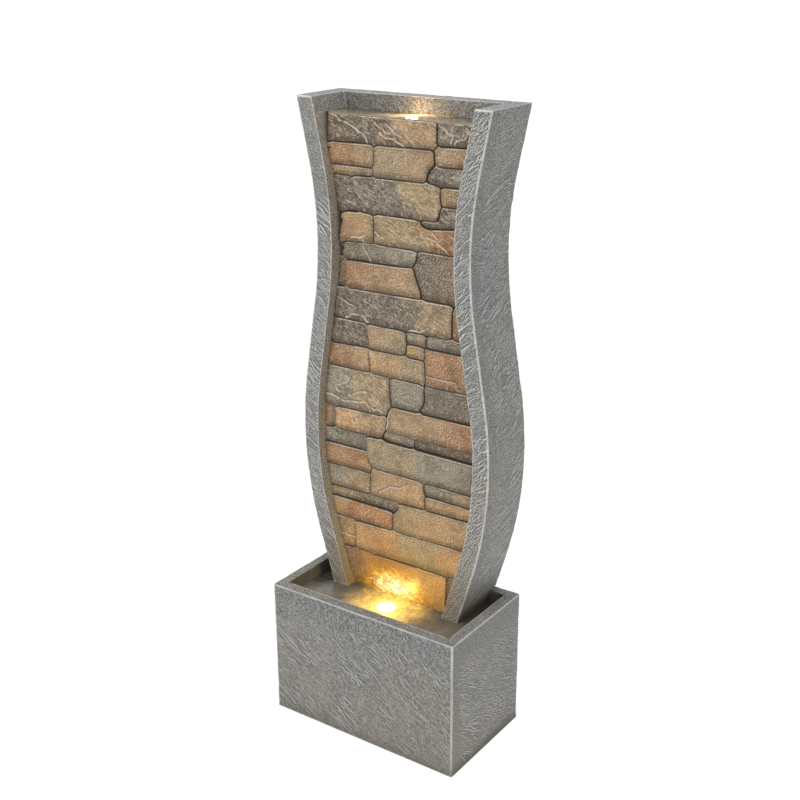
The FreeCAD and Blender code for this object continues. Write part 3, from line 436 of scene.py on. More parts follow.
class Finish(Graph):
    """A material under construction."""

    def __init__(self, name, **surface):
        self.material = bpy.data.materials.new(name)
        self.material.use_nodes = True
        super().__init__(self.material.node_tree)
        self.shader = self.tree.nodes["Principled BSDF"]
        for socket, value in surface.items():
            self.set(socket.replace("_", " ").title().replace("Ior", "IOR"), value)

    def set(self, socket, value):
        self.feed(self.shader.inputs[socket], value)

    def attribute(self, name, output="Fac"):
        return self.node("ShaderNodeAttribute", {"attribute_name": name}, {}, output)

    def place(self):
        return self.node("ShaderNodeTexCoord", {}, {}, "Object")

    def strokes(self, length, width, turn=0.0, aside=0.0):
        """The stroke map, measured in strokes of a given length and width in metres."""
        flat = self.node("ShaderNodeUVMap", {"uv_map": "strokes"}, {})
        inputs = {"Vector": flat, "Location": (0, aside, 0), "Rotation": (0, 0, math.radians(turn)),
                  "Scale": (length, width, 1.0)}
        return self.node("ShaderNodeMapping", {"vector_type": "TEXTURE"}, inputs)

    def folds(self, length, width, turn, thin):
        """Thin crooked ridges along the strokes, and the painted highlight and shade of their sides:
        lighter above, darker below.
        """
        here, below = (self.grain(self.strokes(length, width, turn, aside), 1.0, 2.0, 0.55, 0.7)
                       .line(0.5, thin) for aside in (0.0, 0.9 * MM))
        return here, here - below

    def leaning(self, fall, length, width, place=None):
        """Coordinates drawn out along a direction that falls to the right by some degrees."""
        inputs = {"Vector": place or self.place(), "Rotation": (0, math.radians(fall), 0),
                  "Scale": (length, width, width)}
        return self.node("ShaderNodeMapping", {"vector_type": "TEXTURE"}, inputs)

    def moved(self, place, offset):
        """A place moved by an offset in metres."""
        return self.node("ShaderNodeVectorMath", {"operation": "ADD"}, {0: place, 1: offset})

    def along(self, axis):
        """How far a place lies along an axis, in metres."""
        return self.node("ShaderNodeSeparateXYZ", {}, {"Vector": self.place()}, axis)

    def grain(self, place, scale, detail, rough=0.5, warp=0.0):
        """Uneven noise round 0.5, with a given number of cycles in a metre."""
        inputs = {"Vector": place, "Scale": scale, "Detail": detail, "Roughness": rough, "Distortion": warp}
        return self.node("ShaderNodeTexNoise", {}, inputs)

    def blend(self, first, second, share):
        """A colour between two others, by the share of the second."""
        inputs = {MIX_SHARE: share, MIX_FIRST: first, MIX_SECOND: second}
        return self.node("ShaderNodeMix", {"data_type": "RGBA"}, inputs, MIX_RESULT)

    def bump(self, height, distance, strength=1.0):
        inputs = {"Strength": strength, "Distance": distance, "Height": height}
        self.set("Normal", self.node("ShaderNodeBump", {}, inputs))

    def far_from(self, centre, stretch=(1, 1, 1), turn=0.0):
        """Distance in metres from a centre, with each direction stretched and turned about the vertical."""
        inputs = {"Vector": self.place(), "Location": tuple(centre), "Rotation": (0, 0, turn),
                  "Scale": stretch}
        moved = self.node("ShaderNodeMapping", {"vector_type": "TEXTURE"}, inputs)
        return self.node("ShaderNodeVectorMath", {"operation": "LENGTH"}, {"Vector": moved}, "Value")


def grey(level, warm=0.0):
    """A grey of a given lightness, a little warm or cold."""
    return level * (1 + warm), level, level * (1 - 1.6 * warm)


def slate_resin():
    """Cast resin in slate grey: dark wash in the hollows, pale dry brush on the grain and arrises, painted
    highlight and shade on the sides of the ridges, and painted shade low on the basin, on the inner reveals
    and over the trough.
    """
    finish = Finish("slate_resin_cast")
    place = finish.place()
    folds, fold_light = finish.folds(64 * MM, 10 * MM, 0.0, 0.06)
    wrinkles, wrinkle_light = finish.folds(15 * MM, 3.7 * MM, 6.0, 0.11)
    grain = finish.grain(place, 600, 2.0, 0.6)
    clouds = finish.grain(place, 6, 3.0)
    patches = finish.grain(place, 20, 3.0, 0.55)
    busy = finish.attribute("busy")
    share = busy * (patches.between(0.40, 0.62) * 0.85 + 0.15)
    long_share = busy * (1 - patches.between(0.42, 0.52))
    # Painted highlight and shade of the ridges' two sides, where the strokes are busy.
    light = fold_light * long_share * 1.2 + wrinkle_light * share * 0.8
    hue = (clouds * 0.7 + patches * 0.3).between(0.36, 0.64)
    bare = finish.blend(paint(116, 119, 119), paint(127, 124, 116), hue)
    base = finish.blend(bare, paint(176, 158, 130), finish.attribute("reveal"))
    washed = finish.blend(base, paint(58, 56, 52), (1 - grain.between(0.42, 0.50)) * 0.58)
    dabbed = finish.blend(washed, paint(208, 207, 202), grain.between(0.52, 0.59) * 0.55)
    # Painted shade on the dark side of each ridge, then painted highlight on its light side.
    ridge_shaded = finish.blend(dabbed, paint(66, 64, 60), (0 - light).between(0.04, 0.50) * 0.66)
    ridge_lit = finish.blend(ridge_shaded, paint(238, 238, 234), light.between(0.04, 0.50) * 0.86)
    worn = finish.attribute("arris").between(0.42, 0.80) * (grain.between(0.36, 0.52) * 0.45 + 0.55)
    edged = finish.blend(ridge_lit, paint(228, 227, 220), worn * 0.85)
    # Darkening by the amount that each casting stores, towards brown and, where deepest inside the basin,
    # towards dark grey; on the basin's bottom and lower front and on the inner reveals it is painted shade.
    stain = finish.attribute("stain")
    darkened_tone = finish.blend(paint(116, 101, 78), paint(94, 92, 88), stain.between(1.0, 1.5))
    darkened = finish.blend(edged, darkened_tone, stain * (patches.between(0.30, 0.65) * 0.3 + 0.55))
    # Painted shade at the foot of the basin, and painted shadow on the back wall over the trough.
    finish.set("Base Color", finish.blend(darkened, paint(52, 52, 46), finish.attribute("foot")))
    finish.set("Roughness", 0.50 + grain * 0.25)
    finish.bump(grain * 0.5 + wrinkles * share * 0.25 + folds * long_share * 0.35, 2.0 * MM)
    return finish.material


def stone_paint():
    """Painted stone: each stone's own tints, dark specks and wash, pale brushed crests and veins, painted
    highlight and shade on the grain, upper edges and cracks, painted shade under the edges, and the lower
    lamp's light painted on as a golden tint and a glow.
    """
    finish = Finish("stacked_stone_paint")
    place = finish.place()
    mottle = finish.grain(place, 110, 4.0, 0.62, 0.6)
    clouds = finish.grain(place, 34, 3.0, 0.6, 0.4)
    tint = finish.attribute("tint", "Color")
    joint, crest, hollow, wet, cleft = (finish.attribute(name) for name in STONE_MARKS)
    layered = cleft * 0.38 + 0.20

    def surface(spot):
        streaks = finish.grain(finish.leaning(38, 10 * MM, 2.1 * MM, spot), 1.0, 1.0, 0.5, 0.5)
        grit = finish.grain(spot, 540, 3.0, 0.70, 0.5)
        return grit + (streaks - grit) * layered

    # Painted highlight and shade: the grain minus the same grain a little up and to the left lights one
    # side of each speck and streak and darkens the other.
    rough = surface(place)
    light = rough - surface(finish.moved(place, (-0.6 * MM, 0, 0.6 * MM)))
    veil = (1 - clouds.between(0.40, 0.54)) * 0.36
    pale = finish.blend(tint, paint(255, 238, 204), 0.70)
    dark = finish.blend(tint, paint(24, 15, 8), 0.82)
    uneven = clouds.between(0.34, 0.60) * 0.7 + 0.6
    shaded = finish.blend(tint, dark, veil)
    warmed = finish.blend(shaded, pale, mottle.between(0.52, 0.70) * 0.30)
    pitted = finish.blend(warmed, dark, (1 - rough.between(0.39, 0.50)) * 0.42)
    brushed = finish.blend(pitted, pale, rough.between(0.52, 0.63) * 0.42)
    # Painted shade, then painted highlight, from that difference.
    emboss_shaded = finish.blend(brushed, dark, (0 - light).between(0.01, 0.10) * uneven * 0.74)
    emboss_lit = finish.blend(emboss_shaded, pale, light.between(0.01, 0.10) * uneven * 0.72)
    # Dark wash with painted shade along the edges of each stone, deepest under the lower ones, and beside
    # its cracks.
    wash_shaded = finish.blend(emboss_lit, paint(58, 46, 32), hollow * 0.8)
    # Pale dry brush on the crests, with painted highlight on the upper edges and along the cracks.
    broken = crest * (rough.between(0.36, 0.52) * 0.7 + 0.3)
    crest_highlit = finish.blend(wash_shaded, paint(236, 222, 198), broken * 0.9)
    joined = finish.blend(crest_highlit, paint(58, 46, 32), joint * 0.9)
    # Painted lamplight: a golden brown tint on the stones round the lower lamp's glow.
    lamp_glow_tint = 1 - finish.far_from(LOWER_GLOW, (1.5, 1.0, 1.25)).between(20 * MM, 80 * MM)
    finish.set("Base Color", finish.blend(joined, paint(112, 78, 28), lamp_glow_tint * 0.78))
    finish.set("Roughness", 0.62 + rough * 0.2 - wet * 0.42)
    finish.set("Coat Weight", wet * 0.4)
    finish.set("Coat Roughness", 0.28)
    # Painted lamplight: the lower lamp's rippling glow on the stones, given as emission.
    rings = finish.grain(place, 70, 2.0, 0.6, 1.2).line(0.5, 0.10)
    shimmer = finish.grain(finish.leaning(12, 10 * MM, 4.5 * MM), 1.0, 2.0, 0.6, 1.0).between(0.48, 0.60)
    near = 1 - finish.far_from(LOWER_GLOW, (1.7, 1.0, 0.85)).between(-8 * MM, 66 * MM)
    gold = finish.blend((1.0, 0.48, 0.03), (1.0, 0.82, 0.42), near.between(0.40, 0.90))
    lit = near * near * (0.20 + rings * 0.45 + shimmer * 0.9)
    finish.set("Emission Color", finish.blend((0.0, 0.0, 0.0), gold, lit))
    finish.set("Emission Strength", 2.2)
    finish.bump(rough + mottle * 0.6, 2.4 * MM)
    return finish.material


def joint_grout():
    """Dark rough bed between the stones."""
    finish = Finish("stone_bed_wash", roughness=0.85)
    grit = finish.grain(finish.place(), 380, 4.0, 0.7)
    finish.set("Base Color", finish.blend(paint(52, 41, 31), paint(92, 75, 57), grit.between(0.4, 0.75)))
    finish.bump(grit, 1.5 * MM)
    return finish.material


def water(name, lamp, shades, glow, disc, reach, alpha, stretch=(1, 1, 1), soft=0.1, turn=0.0):
    """Water with fine ripples over a lamp, whose disc and the glow that reaches round it are painted on as
    emission.

    The water darkens from front to back between two values of y, as painted shade.
    """
    finish = Finish(name, ior=1.33, specular_ior_level=0.6)
    place = finish.place()
    ripples = finish.grain(place, 36, 2.0, 0.5, 0.8)
    fine = finish.grain(place, 190, 2.0, 0.5, 0.6)
    shimmer = finish.grain(place, 95, 3.0, 0.6, 1.4)
    # Painted light: the lamp's bright disc and the glow round it, as emission.
    off_lamp = finish.far_from(lamp, stretch, turn)
    away = off_lamp + (ripples - 0.5) * 0.04
    near = 1 - away.between(disc * 0.7, reach)
    core = 1 - (off_lamp + (shimmer - 0.5) * 0.006).between(disc * (1 - soft), disc * 1.02)
    veil = near * (0.55 + shimmer.between(0.40, 0.64) * 0.45) * (0.4 + near * 0.6)
    halo = finish.blend((0.0, 0.0, 0.0), glow, veil)
    # Painted shade: darker from front to back.
    front, back, (start, end) = shades
    depth = finish.along("Y") + (ripples - 0.5) * 0.03
    body = finish.blend(front, back, depth.between(start, end))
    clouded = finish.blend(body, back, ripples.between(0.40, 0.64) * 0.28)
    # Painted shade on the water beside the body, by the stored amount.
    finish.set("Base Color", finish.blend(clouded, paint(62, 60, 55), finish.attribute("body_shade")))
    finish.set("Emission Color", finish.blend(halo, (1.0, 0.98, 0.92), core))
    finish.set("Emission Strength", 1.7)
    finish.set("Roughness", 0.07 + fine * 0.08 + near * 0.45)
    finish.set("Alpha", alpha + near * (0.98 - alpha))
    finish.bump(ripples + fine * 0.12, 1.6 * MM, 0.5)
    return finish.material


def moulded(name, dark, light, rough, relief=0.15 * MM, **surface):
    """A plain moulded, cast or rolled surface with fine grain and slow changes of tone."""
    finish = Finish(name, **surface)
    place = finish.place()
    clouds = finish.grain(place, 36, 3.0)
    grain = finish.grain(place, 1200, 2.0)
    finish.set("Base Color", finish.blend(dark, light, clouds * 0.7 + grain * 0.3))
    finish.set("Roughness", rough - 0.06 + clouds * 0.12)
    finish.bump(grain + clouds, relief, 0.5)
    return finish.material


def lamp_lens():
    """Frosted lens lit from behind by its chips."""
    finish = Finish("lamp_lens_lit", roughness=0.25, ior=1.49)
    frost = finish.grain(finish.place(), 900, 2.0)
    finish.set("Base Color", finish.blend((0.90, 0.84, 0.68), (1.0, 0.95, 0.82), frost))
    finish.set("Emission Color", finish.blend((1.0, 0.78, 0.42), (1.0, 0.90, 0.66), frost))
    finish.set("Emission Strength", 3.0)
    finish.bump(frost, 0.1 * MM, 0.4)
    return finish.material


def chisel(piece, tree, depth, stroke_angle, reach, chosen):
    """Presses a chiselled slate relief into the chosen places and marks the arrises."""
    mesh = piece.data
    mesh.update()
    normals = [vert.normal.copy() for vert in mesh.vertices]
    arris = []
    for vert, normal in zip(mesh.vertices, normals):
        place = vert.co.copy()
        off_arris = tree.find(place)[2]
        arris.append(max(0.0, 1 - off_arris / reach))
        if not chosen(place, normal):
            continue
        along, across = laid_flat(place, normal, stroke_angle)
        shift = 3.1 * normal.x
        long_ridge = noise.noise(Vector((along * 16, across * 95, shift)))
        short_ridge = noise.noise(Vector((along * 45, across * 210, shift + 7)))
        swell = noise.noise(place * 22)
        level = 0.5 + 0.36 * long_ridge + 0.20 * short_ridge + 0.30 * swell
        worn = max(0.0, 1 - off_arris / (2.2 * MM)) * (0.55 + 0.5 * noise.noise(place * 90)) * MM
        vert.co = place - normal * (depth * min(1.0, max(0.0, level)) + max(0.0, worn))
    write_attribute(piece, "arris", arris)


def write_amount(piece, name, amount):
    """Stores an amount worked out from each vertex's place and normal."""
    write_attribute(piece, name, [amount(vert.co, vert.normal) for vert in piece.data.vertices])


def carve(piece, body, finish, nodes, plain, outside, stroke_angle, pitch, depth, reach, **amounts):
    """Turns the copy of a casting into a chiselled and painted piece."""
    tree = arris_tree(piece)
    lay_grid(piece, pitch, plain)
    chisel(piece, tree, depth, stroke_angle, reach, outside)
    for name, amount in amounts.items():
        write_amount(piece, name, amount)
    write_stroke_map(piece, stroke_angle)
    soften(piece, 50)
    settle(piece, body, "slate_resin", finish, *nodes)


def make_basin(finish):
    """Basin with chiselled outer walls and a flat worn rim."""
    inner_x = BASIN[1].x - BASIN_WALL
    inner_y = BASIN[1].y - BASIN_WALL

    def inside(place):
        return abs(place.x) < inner_x + 0.5 * MM and abs(place.y) < inner_y + 0.5 * MM

    def plain(face):
        centre = face.calc_center_median()
        return inside(centre) and centre.z < RIM_Z - 3 * MM or face.normal.z < -0.5

    def stroke_angle(place, normal):
        if abs(normal.z) > FACING:
            return math.radians(30)
        if abs(normal.x) > abs(normal.y):
            return math.radians(-34)
        return math.radians(-38)

    def outside(place, normal):
        return not inside(place) and place.z > 3 * MM

    # Darkest inside the basin; painted shade towards the bottom and down the front face; tops and sides a
    # little darker all over.
    def stain(place, normal):
        if inside(place):
            return 1.5
        low = 1 - smooth_step(place.z, 5 * MM, 60 * MM)
        fall = smooth_step(place.z, RIM_Z - 10 * MM, RIM_Z - 90 * MM)
        front = 0.26 * fall if normal.y < -FACING else 0.10
        return 0.22 * low + (0.18 if normal.z > FACING else front)

    # Painted shade along the bottom of the basin, deeper on its sides.
    def foot(place, normal):
        return smooth_step(place.z, 26 * MM, 0) * (0.62 if abs(normal.x) > FACING else 0.34)

    def busy(place, normal):
        if normal.z > FACING or inside(place):
            return 0.15
        on_side = abs(normal.x) > FACING
        from_corner = smooth_step(place.y - BASIN[0].y, 8 * MM, 34 * MM) if on_side else 1.0
        fall = smooth_step(place.z, RIM_Z - 15 * MM, RIM_Z - 70 * MM)
        return from_corner * (0.15 + 0.52 * fall)

    carve(copy_of("basin_casting", "basin"), "root", finish, ["basin"], plain, outside, stroke_angle,
          pitch=8 * MM, depth=1.4 * MM, reach=2.2 * MM, stain=stain, foot=foot, busy=busy)


def body_strokes(place, normal):
    """Strokes fall to the right on the left cheek and rise to the right everywhere else."""
    if abs(normal.z) > FACING:
        return math.radians(30)
    if abs(normal.x) > abs(normal.y):
        return math.radians(24)
    if normal.y < 0 and place.x < 0:
        return math.radians(-40)
    return math.radians(45)


def make_surround(finish):
    """Curved surround with chiselled cheeks, sides and top."""

    def plain(face):
        centre = face.calc_center_median()
        inward = face.normal.x * centre.x < -0.2 * abs(centre.x)
        hidden = centre.y > LIP_BACK_Y + 2 * MM and centre.z < TROUGH[0].z
        under = centre.z < 20 * MM or face.normal.z < -0.5
        return (inward and hidden) or under or (hidden and abs(face.normal.z) > 0.5)

    def outside(place, normal):
        return place.z > 22 * MM

    def inward(place, normal):
        return normal.x * place.x < 0 and place.z < TROUGH_WATER_Z

    def over_trough(place, normal):
        return normal.y < -FACING and place.y > LIP_BACK_Y

    def reveal(place, normal):
        return 0.6 * smooth_step(place.y, SHELL[0].y, SHELL[0].y + 5 * MM) * inward(place, normal)

    # Darker towards the basin rim and a little over the trough; the extra darkening on the inner reveals is
    # painted shade.
    def stain(place, normal):
        in_front = normal.y < -0.5
        low = 1 - smooth_step(place.z, RIM_Z - 10 * MM, RIM_Z + (130 * MM if in_front else 70 * MM))
        share = (0.35 if in_front else 0.55) + 0.3 * inward(place, normal)
        return min(1.0, low * share + 0.2 * over_trough(place, normal))

    # Painted shadow on the back wall over the trough, deepening towards the left.
    def shaded(place, normal):
        return 0.28 * smooth_step(place.x, 20 * MM, -110 * MM) * over_trough(place, normal)

    def busy(place, normal):
        if normal.z > FACING:
            return 0.25
        if abs(normal.x) > FACING:
            return 0.05 + 0.55 * smooth_step(place.y - SHELL[0].y, 10 * MM, 36 * MM)
        if normal.y < -FACING and place.x < 0:
            return 0.4 + 0.6 * smooth_step(place.z, 880 * MM, 800 * MM)
        if over_trough(place, normal):
            return 0.14
        return 1.1 if normal.y < -FACING else 0.7

    nodes = ["wall_shell", "rear_rim"]
    carve(copy_of("wall_surround", *nodes), "root", finish, nodes, plain, outside, body_strokes,
          pitch=8 * MM, depth=1.1 * MM, reach=3.6 * MM, stain=stain, foot=shaded, reveal=reveal, busy=busy)


def make_back(finish):
    """Rear wall and its access door, with the same chiselled skin behind."""
    for name, body, node in (("back_plate", "root", "rear_wall"), ("access_door", "door", "rear_door")):
        skin_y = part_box(node)[1].y - 0.5 * MM

        def plain(face):
            return face.calc_center_median().y < skin_y

        def outside(place, normal):
            return place.y > skin_y and normal.y > FACING

        def busy(place, normal):
            return 0.8

        carve(copy_of(name, node), body, finish, [node], plain, outside, body_strokes,
              pitch=12 * MM, depth=0.7 * MM, reach=3.0 * MM, busy=busy)


def islands(mesh):
    """The connected parts of a mesh, each as a list of vertices."""
    seen = set()
    parts = []
    for start in mesh.verts:
        if start.index in seen:
            continue
        seen.add(start.index)
        part = []
        queue = [start]
        while queue:
            vert = queue.pop()
            part.append(vert)
            for edge in vert.link_edges:
                other = edge.other_vert(vert)
                if other.index not in seen:
                    seen.add(other.index)
                    queue.append(other)
        parts.append(part)
    return parts


def fitted_plane(places):
    """Middle of some places and the gentle slopes along x and z of the plane that lies through them."""
    middle = sum(places, Vector()) / len(places)
    offs = [place - middle for place in places]
    give = len(places) * (5 * MM) ** 2
    xx = give + sum(off.x * off.x for off in offs)
    zz = give + sum(off.z * off.z for off in offs)
    xz = sum(off.x * off.z for off in offs)
    xy = sum(off.x * off.y for off in offs)
    zy = sum(off.z * off.y for off in offs)
    whole = xx * zz - xz * xz
    return middle, (xy * zz - zy * xz) / whole, (zy * xx - xy * xz) / whole


def flattened(place):
    """A place seen from the front, without its depth."""
    return Vector((place.x, 0, place.z))


def sides(part):
    """Left, right, lower and upper side of an island of the panel."""
    xs = [vert.co.x for vert in part]
    zs = [vert.co.z for vert in part]
    return min(xs), max(xs), min(zs), max(zs)


def stone_number(part):
    """Which stone of the list an island of the panel is."""
    left, right, low, high = sides(part)
    return min(range(len(STONES)), key=lambda index: math.hypot(
        STONES[index][0] * MM - (left + right) / 2, STONES[index][1] * MM - (low + high) / 2))


class Outlines:
    """The stones' outlines as close points, with how far each point moves out to narrow the joint."""

    joint = 0.75 * MM
    reach = 7 * MM
    corner = 3 * MM

    def __init__(self, piece):
        mesh = bmesh.new()
        mesh.from_mesh(piece.data)
        mesh.normal_update()
        self.points = []
        self.owners = []
        outwards = []
        for part in islands(mesh):
            number = stone_number(part)
            rims = {edge: self.outward_of(edge)
                    for vert in part for edge in vert.link_edges if edge.is_boundary}
            for edge, outward in rims.items():
                start, end = (flattened(vert.co) for vert in edge.verts)
                first, last = (self.corner_outward(vert, rims) for vert in edge.verts)
                length = (end - start).length
                count = max(1, int(length / POINT_SPACING))
                for index in range(count + 1):
                    gone = length * index / count
                    by_start = max(0.0, 1 - gone / self.corner)
                    by_end = max(0.0, 1 - (length - gone) / self.corner)
                    own = max(0.0, 1 - by_start - by_end)
                    self.points.append(start.lerp(end, index / count))
                    self.owners.append(number)
                    outwards.append((outward * own + first * by_start + last * by_end).normalized())
        mesh.free()
        self.tree = tree_of(self.points, range(len(self.points)))
        self.shifts = []
        shown = []
        for index, (point, outward, owner) in enumerate(zip(self.points, outwards, self.owners)):
            shift, partner = self.way_out(point, outward, owner)
            self.shifts.append(shift)
            if {owner, partner} not in UNITED:
                shown.append(index)
        self.shown = tree_of(self.points, shown)

    def outward_of(self, edge):
        """The direction in the panel's plane that leads away from the stone."""
        start, end = (flattened(vert.co) for vert in edge.verts)
        outward = Vector((end.z - start.z, 0, start.x - end.x)).normalized()
        inside = flattened(edge.link_faces[0].calc_center_median()) - start
        return -outward if outward.dot(inside) > 0 else outward

    def corner_outward(self, vert, rims):
        """The outward direction at a corner, between those of the edges that meet there."""
        return sum((rims[edge] for edge in vert.link_edges if edge in rims), Vector()).normalized()

    def nearest_other(self, place, owner):
        """Distance to the nearest outline of another stone, and which stone that is."""
        for _, index, away in self.tree.find_n(place, 60):
            if self.owners[index] != owner:
                return away, self.owners[index]
        return 1.0, None

    def way_out(self, point, outward, owner):
        """How far an outline point moves to the middle of its joint, and which stone lies across."""
        travel = 0.0
        for _ in range(6):
            away, partner = self.nearest_other(point + outward * travel, owner)
            travel += (away - travel) / 2
            if travel > 2.2 * self.reach:
                beside_cheek = abs(outward.x) > 0.6 and point.z < PANEL[1].z - 50 * MM
                return outward * (4 * MM if beside_cheek else 0), None
        left = -0.3 * MM if {owner, partner} in UNITED else self.joint
        shift = outward * (min(travel, self.reach) - left / 2)
        if POOL_Z - 1 * MM < point.z < POOL_Z + 13 * MM and abs(outward.z) > 0.25:
            shift.z = POOL_Z - 1 * MM - point.z
        if point.z > TOP_STRIP_Z:
            shift.z = min(0.0, shift.z)
        return shift, partner


def crack_beside(place, cracks):
    """Distance from a place to the nearest crack, and whether the place lies above or right of it."""
    nearest = 1.0
    above = False
    for crack in cracks:
        for start, end in zip(crack, crack[1:]):
            run = end - start
            share = min(1.0, max(0.0, (place - start).dot(run) / run.length_squared))
            off = place - start - run * share
            if off.length < nearest:
                nearest = off.length
                above = run.x * off.z - run.z * off.x > 0
    return nearest, above


def stone_relief(place, style, number):
    """How far a stone's face lies behind its plane at a place, and how much it is a broken crest."""
    seed = Vector((number * 3.7, number * 1.3, 0))
    broad = noise.noise(place * 24 + seed)
    middle = noise.noise(place * 85 + seed)
    fine = noise.noise(place * 240 + seed)
    level = 0.9 * broad + 0.45 * middle + 0.25 * fine
    crest = smooth_step(fine + 0.4 * middle, 0.30, 0.60) * 0.35
    if style == "cleft":
        slope = math.radians(32 + 12 * noise.noise(seed))
        layer = (place.x * math.sin(slope) + place.z * math.cos(slope)) / (16 * MM)
        layer += 1.4 * noise.noise(place * 17 + seed) + 0.3 * middle
        step = layer - math.floor(layer)
        level += 1.1 * step - 0.55
        patchy = smooth_step(noise.noise(place * 30 - seed), -0.1, 0.35)
        crest += patchy * (smooth_step(step, 0.05, 0.0) + 0.8 * smooth_step(step, 0.90, 0.98))
    elif style == "smooth":
        level *= 0.6
    return level * MM, min(1.0, crest)


def stone_tint(place, number, share):
    """The paint at a place of a stone, a share of its width from the left, warmed lower down by painted
    lamplight.
    """
    first, second, start = STONES[number][2:5]
    turn = start + 0.30 * noise.noise(place * 30) + 0.12 * noise.noise(place * 110)
    mixed = smooth_step(share, turn - 0.12, turn + 0.12)
    shade = 1 + 0.20 * noise.noise(place * 45 + BACK * number)
    # Painted lamplight: the stones lower down turn warmer and yellower.
    warm = smooth_step(place.z, 440 * MM, 240 * MM)
    lamplit = (1 + 0.44 * warm, 1 + 0.12 * warm, 1 - 0.42 * warm)
    return [(one + (other - one) * mixed) * shade * glow
            for one, other, glow in zip(PAINTS[first], PAINTS[second], lamplit)]


def shape_stones(piece, outlines):
    """Rounds, splits and paints every stone of the dense skin."""
    mesh = bmesh.new()
    mesh.from_mesh(piece.data)
    mesh.verts.ensure_lookup_table()
    count = len(mesh.verts)
    tints = [None] * count
    marks = {name: [0.0] * count for name in STONE_MARKS}
    cracks = [[Vector((x, 0, z)) * MM for x, z in crack] for crack in CRACKS]
    for part in islands(mesh):
        number = stone_number(part)
        style = STONES[number][5]
        left, right, low, high = sides(part)
        own_cracks = [crack for crack in cracks if any(
            left < place.x < right and low < place.z < high for place in crack)]
        edges = [outlines.shown.find(flattened(vert.co)) for vert in part]
        middle, slope_x, slope_z = fitted_plane(
            [vert.co.copy() for vert, edge in zip(part, edges) if edge[2] > 2.7 * MM]
            or [vert.co.copy() for vert in part])
        for vert, (edge, _, away) in zip(part, edges):
            place = vert.co.copy()
            _, outline_index, off_outline = outlines.tree.find(flattened(place))
            shift = outlines.shifts[outline_index]
            shift = shift * (1 - smooth_step(off_outline, 0, max(6 * MM, 2.2 * shift.length)))
            back, broken = stone_relief(place, style, number)
            face_y = middle.y + slope_x * (place.x - middle.x) + slope_z * (place.z - middle.z)
            upward = (edge.z - place.z) / max(away, 0.1 * MM)
            foot = smooth_step(-upward, 0.2, 0.8)
            arris = (1.5 + 1.2 * noise.noise(place * 70) + 0.8 * foot) * MM
            near = max(0.0, arris - away)
            rounding = arris - math.sqrt(max(0.0, arris * arris - near * near))
            taper = min(1.0, away / (3 * MM))
            wander = Vector((noise.noise(place * 130), 0, noise.noise(place * 130 + BACK))) * 1.2 * MM
            crack, above = crack_beside(flattened(place) + wander, own_cracks)
            step = -0.6 * MM * math.exp(-crack / (9 * MM)) if not above else 0.0
            # A line along a crack, set back a little and painted pale as a highlight of its raised edge.
            edge_line = smooth_step(crack, 1.1 * MM, 0.4 * MM)
            vert.co = place + shift
            vert.co.y = face_y + (back + step - 0.4 * MM * edge_line) * taper + rounding
            tints[vert.index] = stone_tint(place, number, (place.x - left) / (right - left))
            # Painted highlight along the upper edges of the stones, broken into patches.
            patchy = 0.35 + 0.65 * smooth_step(noise.noise(place * 50 + RIGHT * number), -0.25, 0.25)
            top_edge_highlight = smooth_step(away, 2.3 * MM, 1.0 * MM) * smooth_step(upward, 0.2, 0.8) * patchy
            # Painted shade beside a crack on its lower-lying upper side, and dark wash with painted shade
            # along the edges, deepest under the lower ones.
            beside_crack = smooth_step(crack, 5 * MM, 1.2 * MM) * 0.6 if above else 0.0
            under_edge = smooth_step(away, (5 + 6 * foot) * MM, 0.5 * MM) * (0.46 + 0.35 * foot)
            marks["crest"][vert.index] = max(broken * taper, top_edge_highlight, edge_line)
            marks["hollow"][vert.index] = max(beside_crack, under_edge)
            marks["joint"][vert.index] = smooth_step(away, (1.0 + 0.5 * foot) * MM, 0.2 * MM)
            marks["cleft"][vert.index] = float(style == "cleft")
            marks["wet"][vert.index] = 0.25 + 0.75 * smooth_step(place.z, 360 * MM, 240 * MM)
    mesh.to_mesh(piece.data)
    mesh.free()
    write_tints(piece, tints)
    for name, values in marks.items():
        write_attribute(piece, name, values)


def make_stones(finish, grout):
    """Stacked stones, split and worn, standing off a dark bed."""
    piece = copy_of("stones", "cascade_panel")

    def not_stone(face):
        return face.normal.y > -0.3 or face.calc_center_median().y > LIP_BACK_Y - 1.5 * MM

    edit(piece)
    choose_faces(piece, not_stone)
    bpy.ops.mesh.delete(type="FACE")
    leave_edit()
    outlines = Outlines(piece)
    lay_grid(piece, 5 * MM)
    shape_stones(piece, outlines)

    edit(piece)
    bpy.ops.mesh.select_mode(type="EDGE")
    bpy.ops.mesh.select_all(action="DESELECT")
    bpy.ops.mesh.select_non_manifold()
    bpy.ops.mesh.extrude_edges_move(TRANSFORM_OT_translate={"value": (0, 2 * MM, 0)})
    mesh = bmesh.from_edit_mesh(piece.data)
    for vert in mesh.verts:
        if vert.select:
            vert.co.y = BED_Y + 0.4 * MM
    bmesh.update_edit_mesh(piece.data)
    bpy.ops.mesh.fill_holes(sides=0)
    leave_edit()
    soften(piece, 60)

    upper = split_off(piece, "stones_upper", PANEL[1].z * 0.655)
    middle = split_off(piece, "stones_middle", PANEL[1].z * 0.40)
    piece.name = "stones_lower"
    for stones in (upper, middle, piece):
        settle(stones, "root", "stone_resin", finish, "cascade_panel")

    bed = copy_of("stone_bed", "cascade_panel")
    edit(bed)
    bpy.ops.mesh.bisect(plane_co=(0, BED_Y, 0), plane_no=(0, 1, 0), use_fill=True, clear_inner=True)
    leave_edit()
    settle(bed, "root", "stone_resin", grout, "cascade_panel")
    top_row = [vert.co.x for vert in upper.data.vertices if vert.co.z > TOP_STRIP_Z]
    return min(top_row), max(top_row)


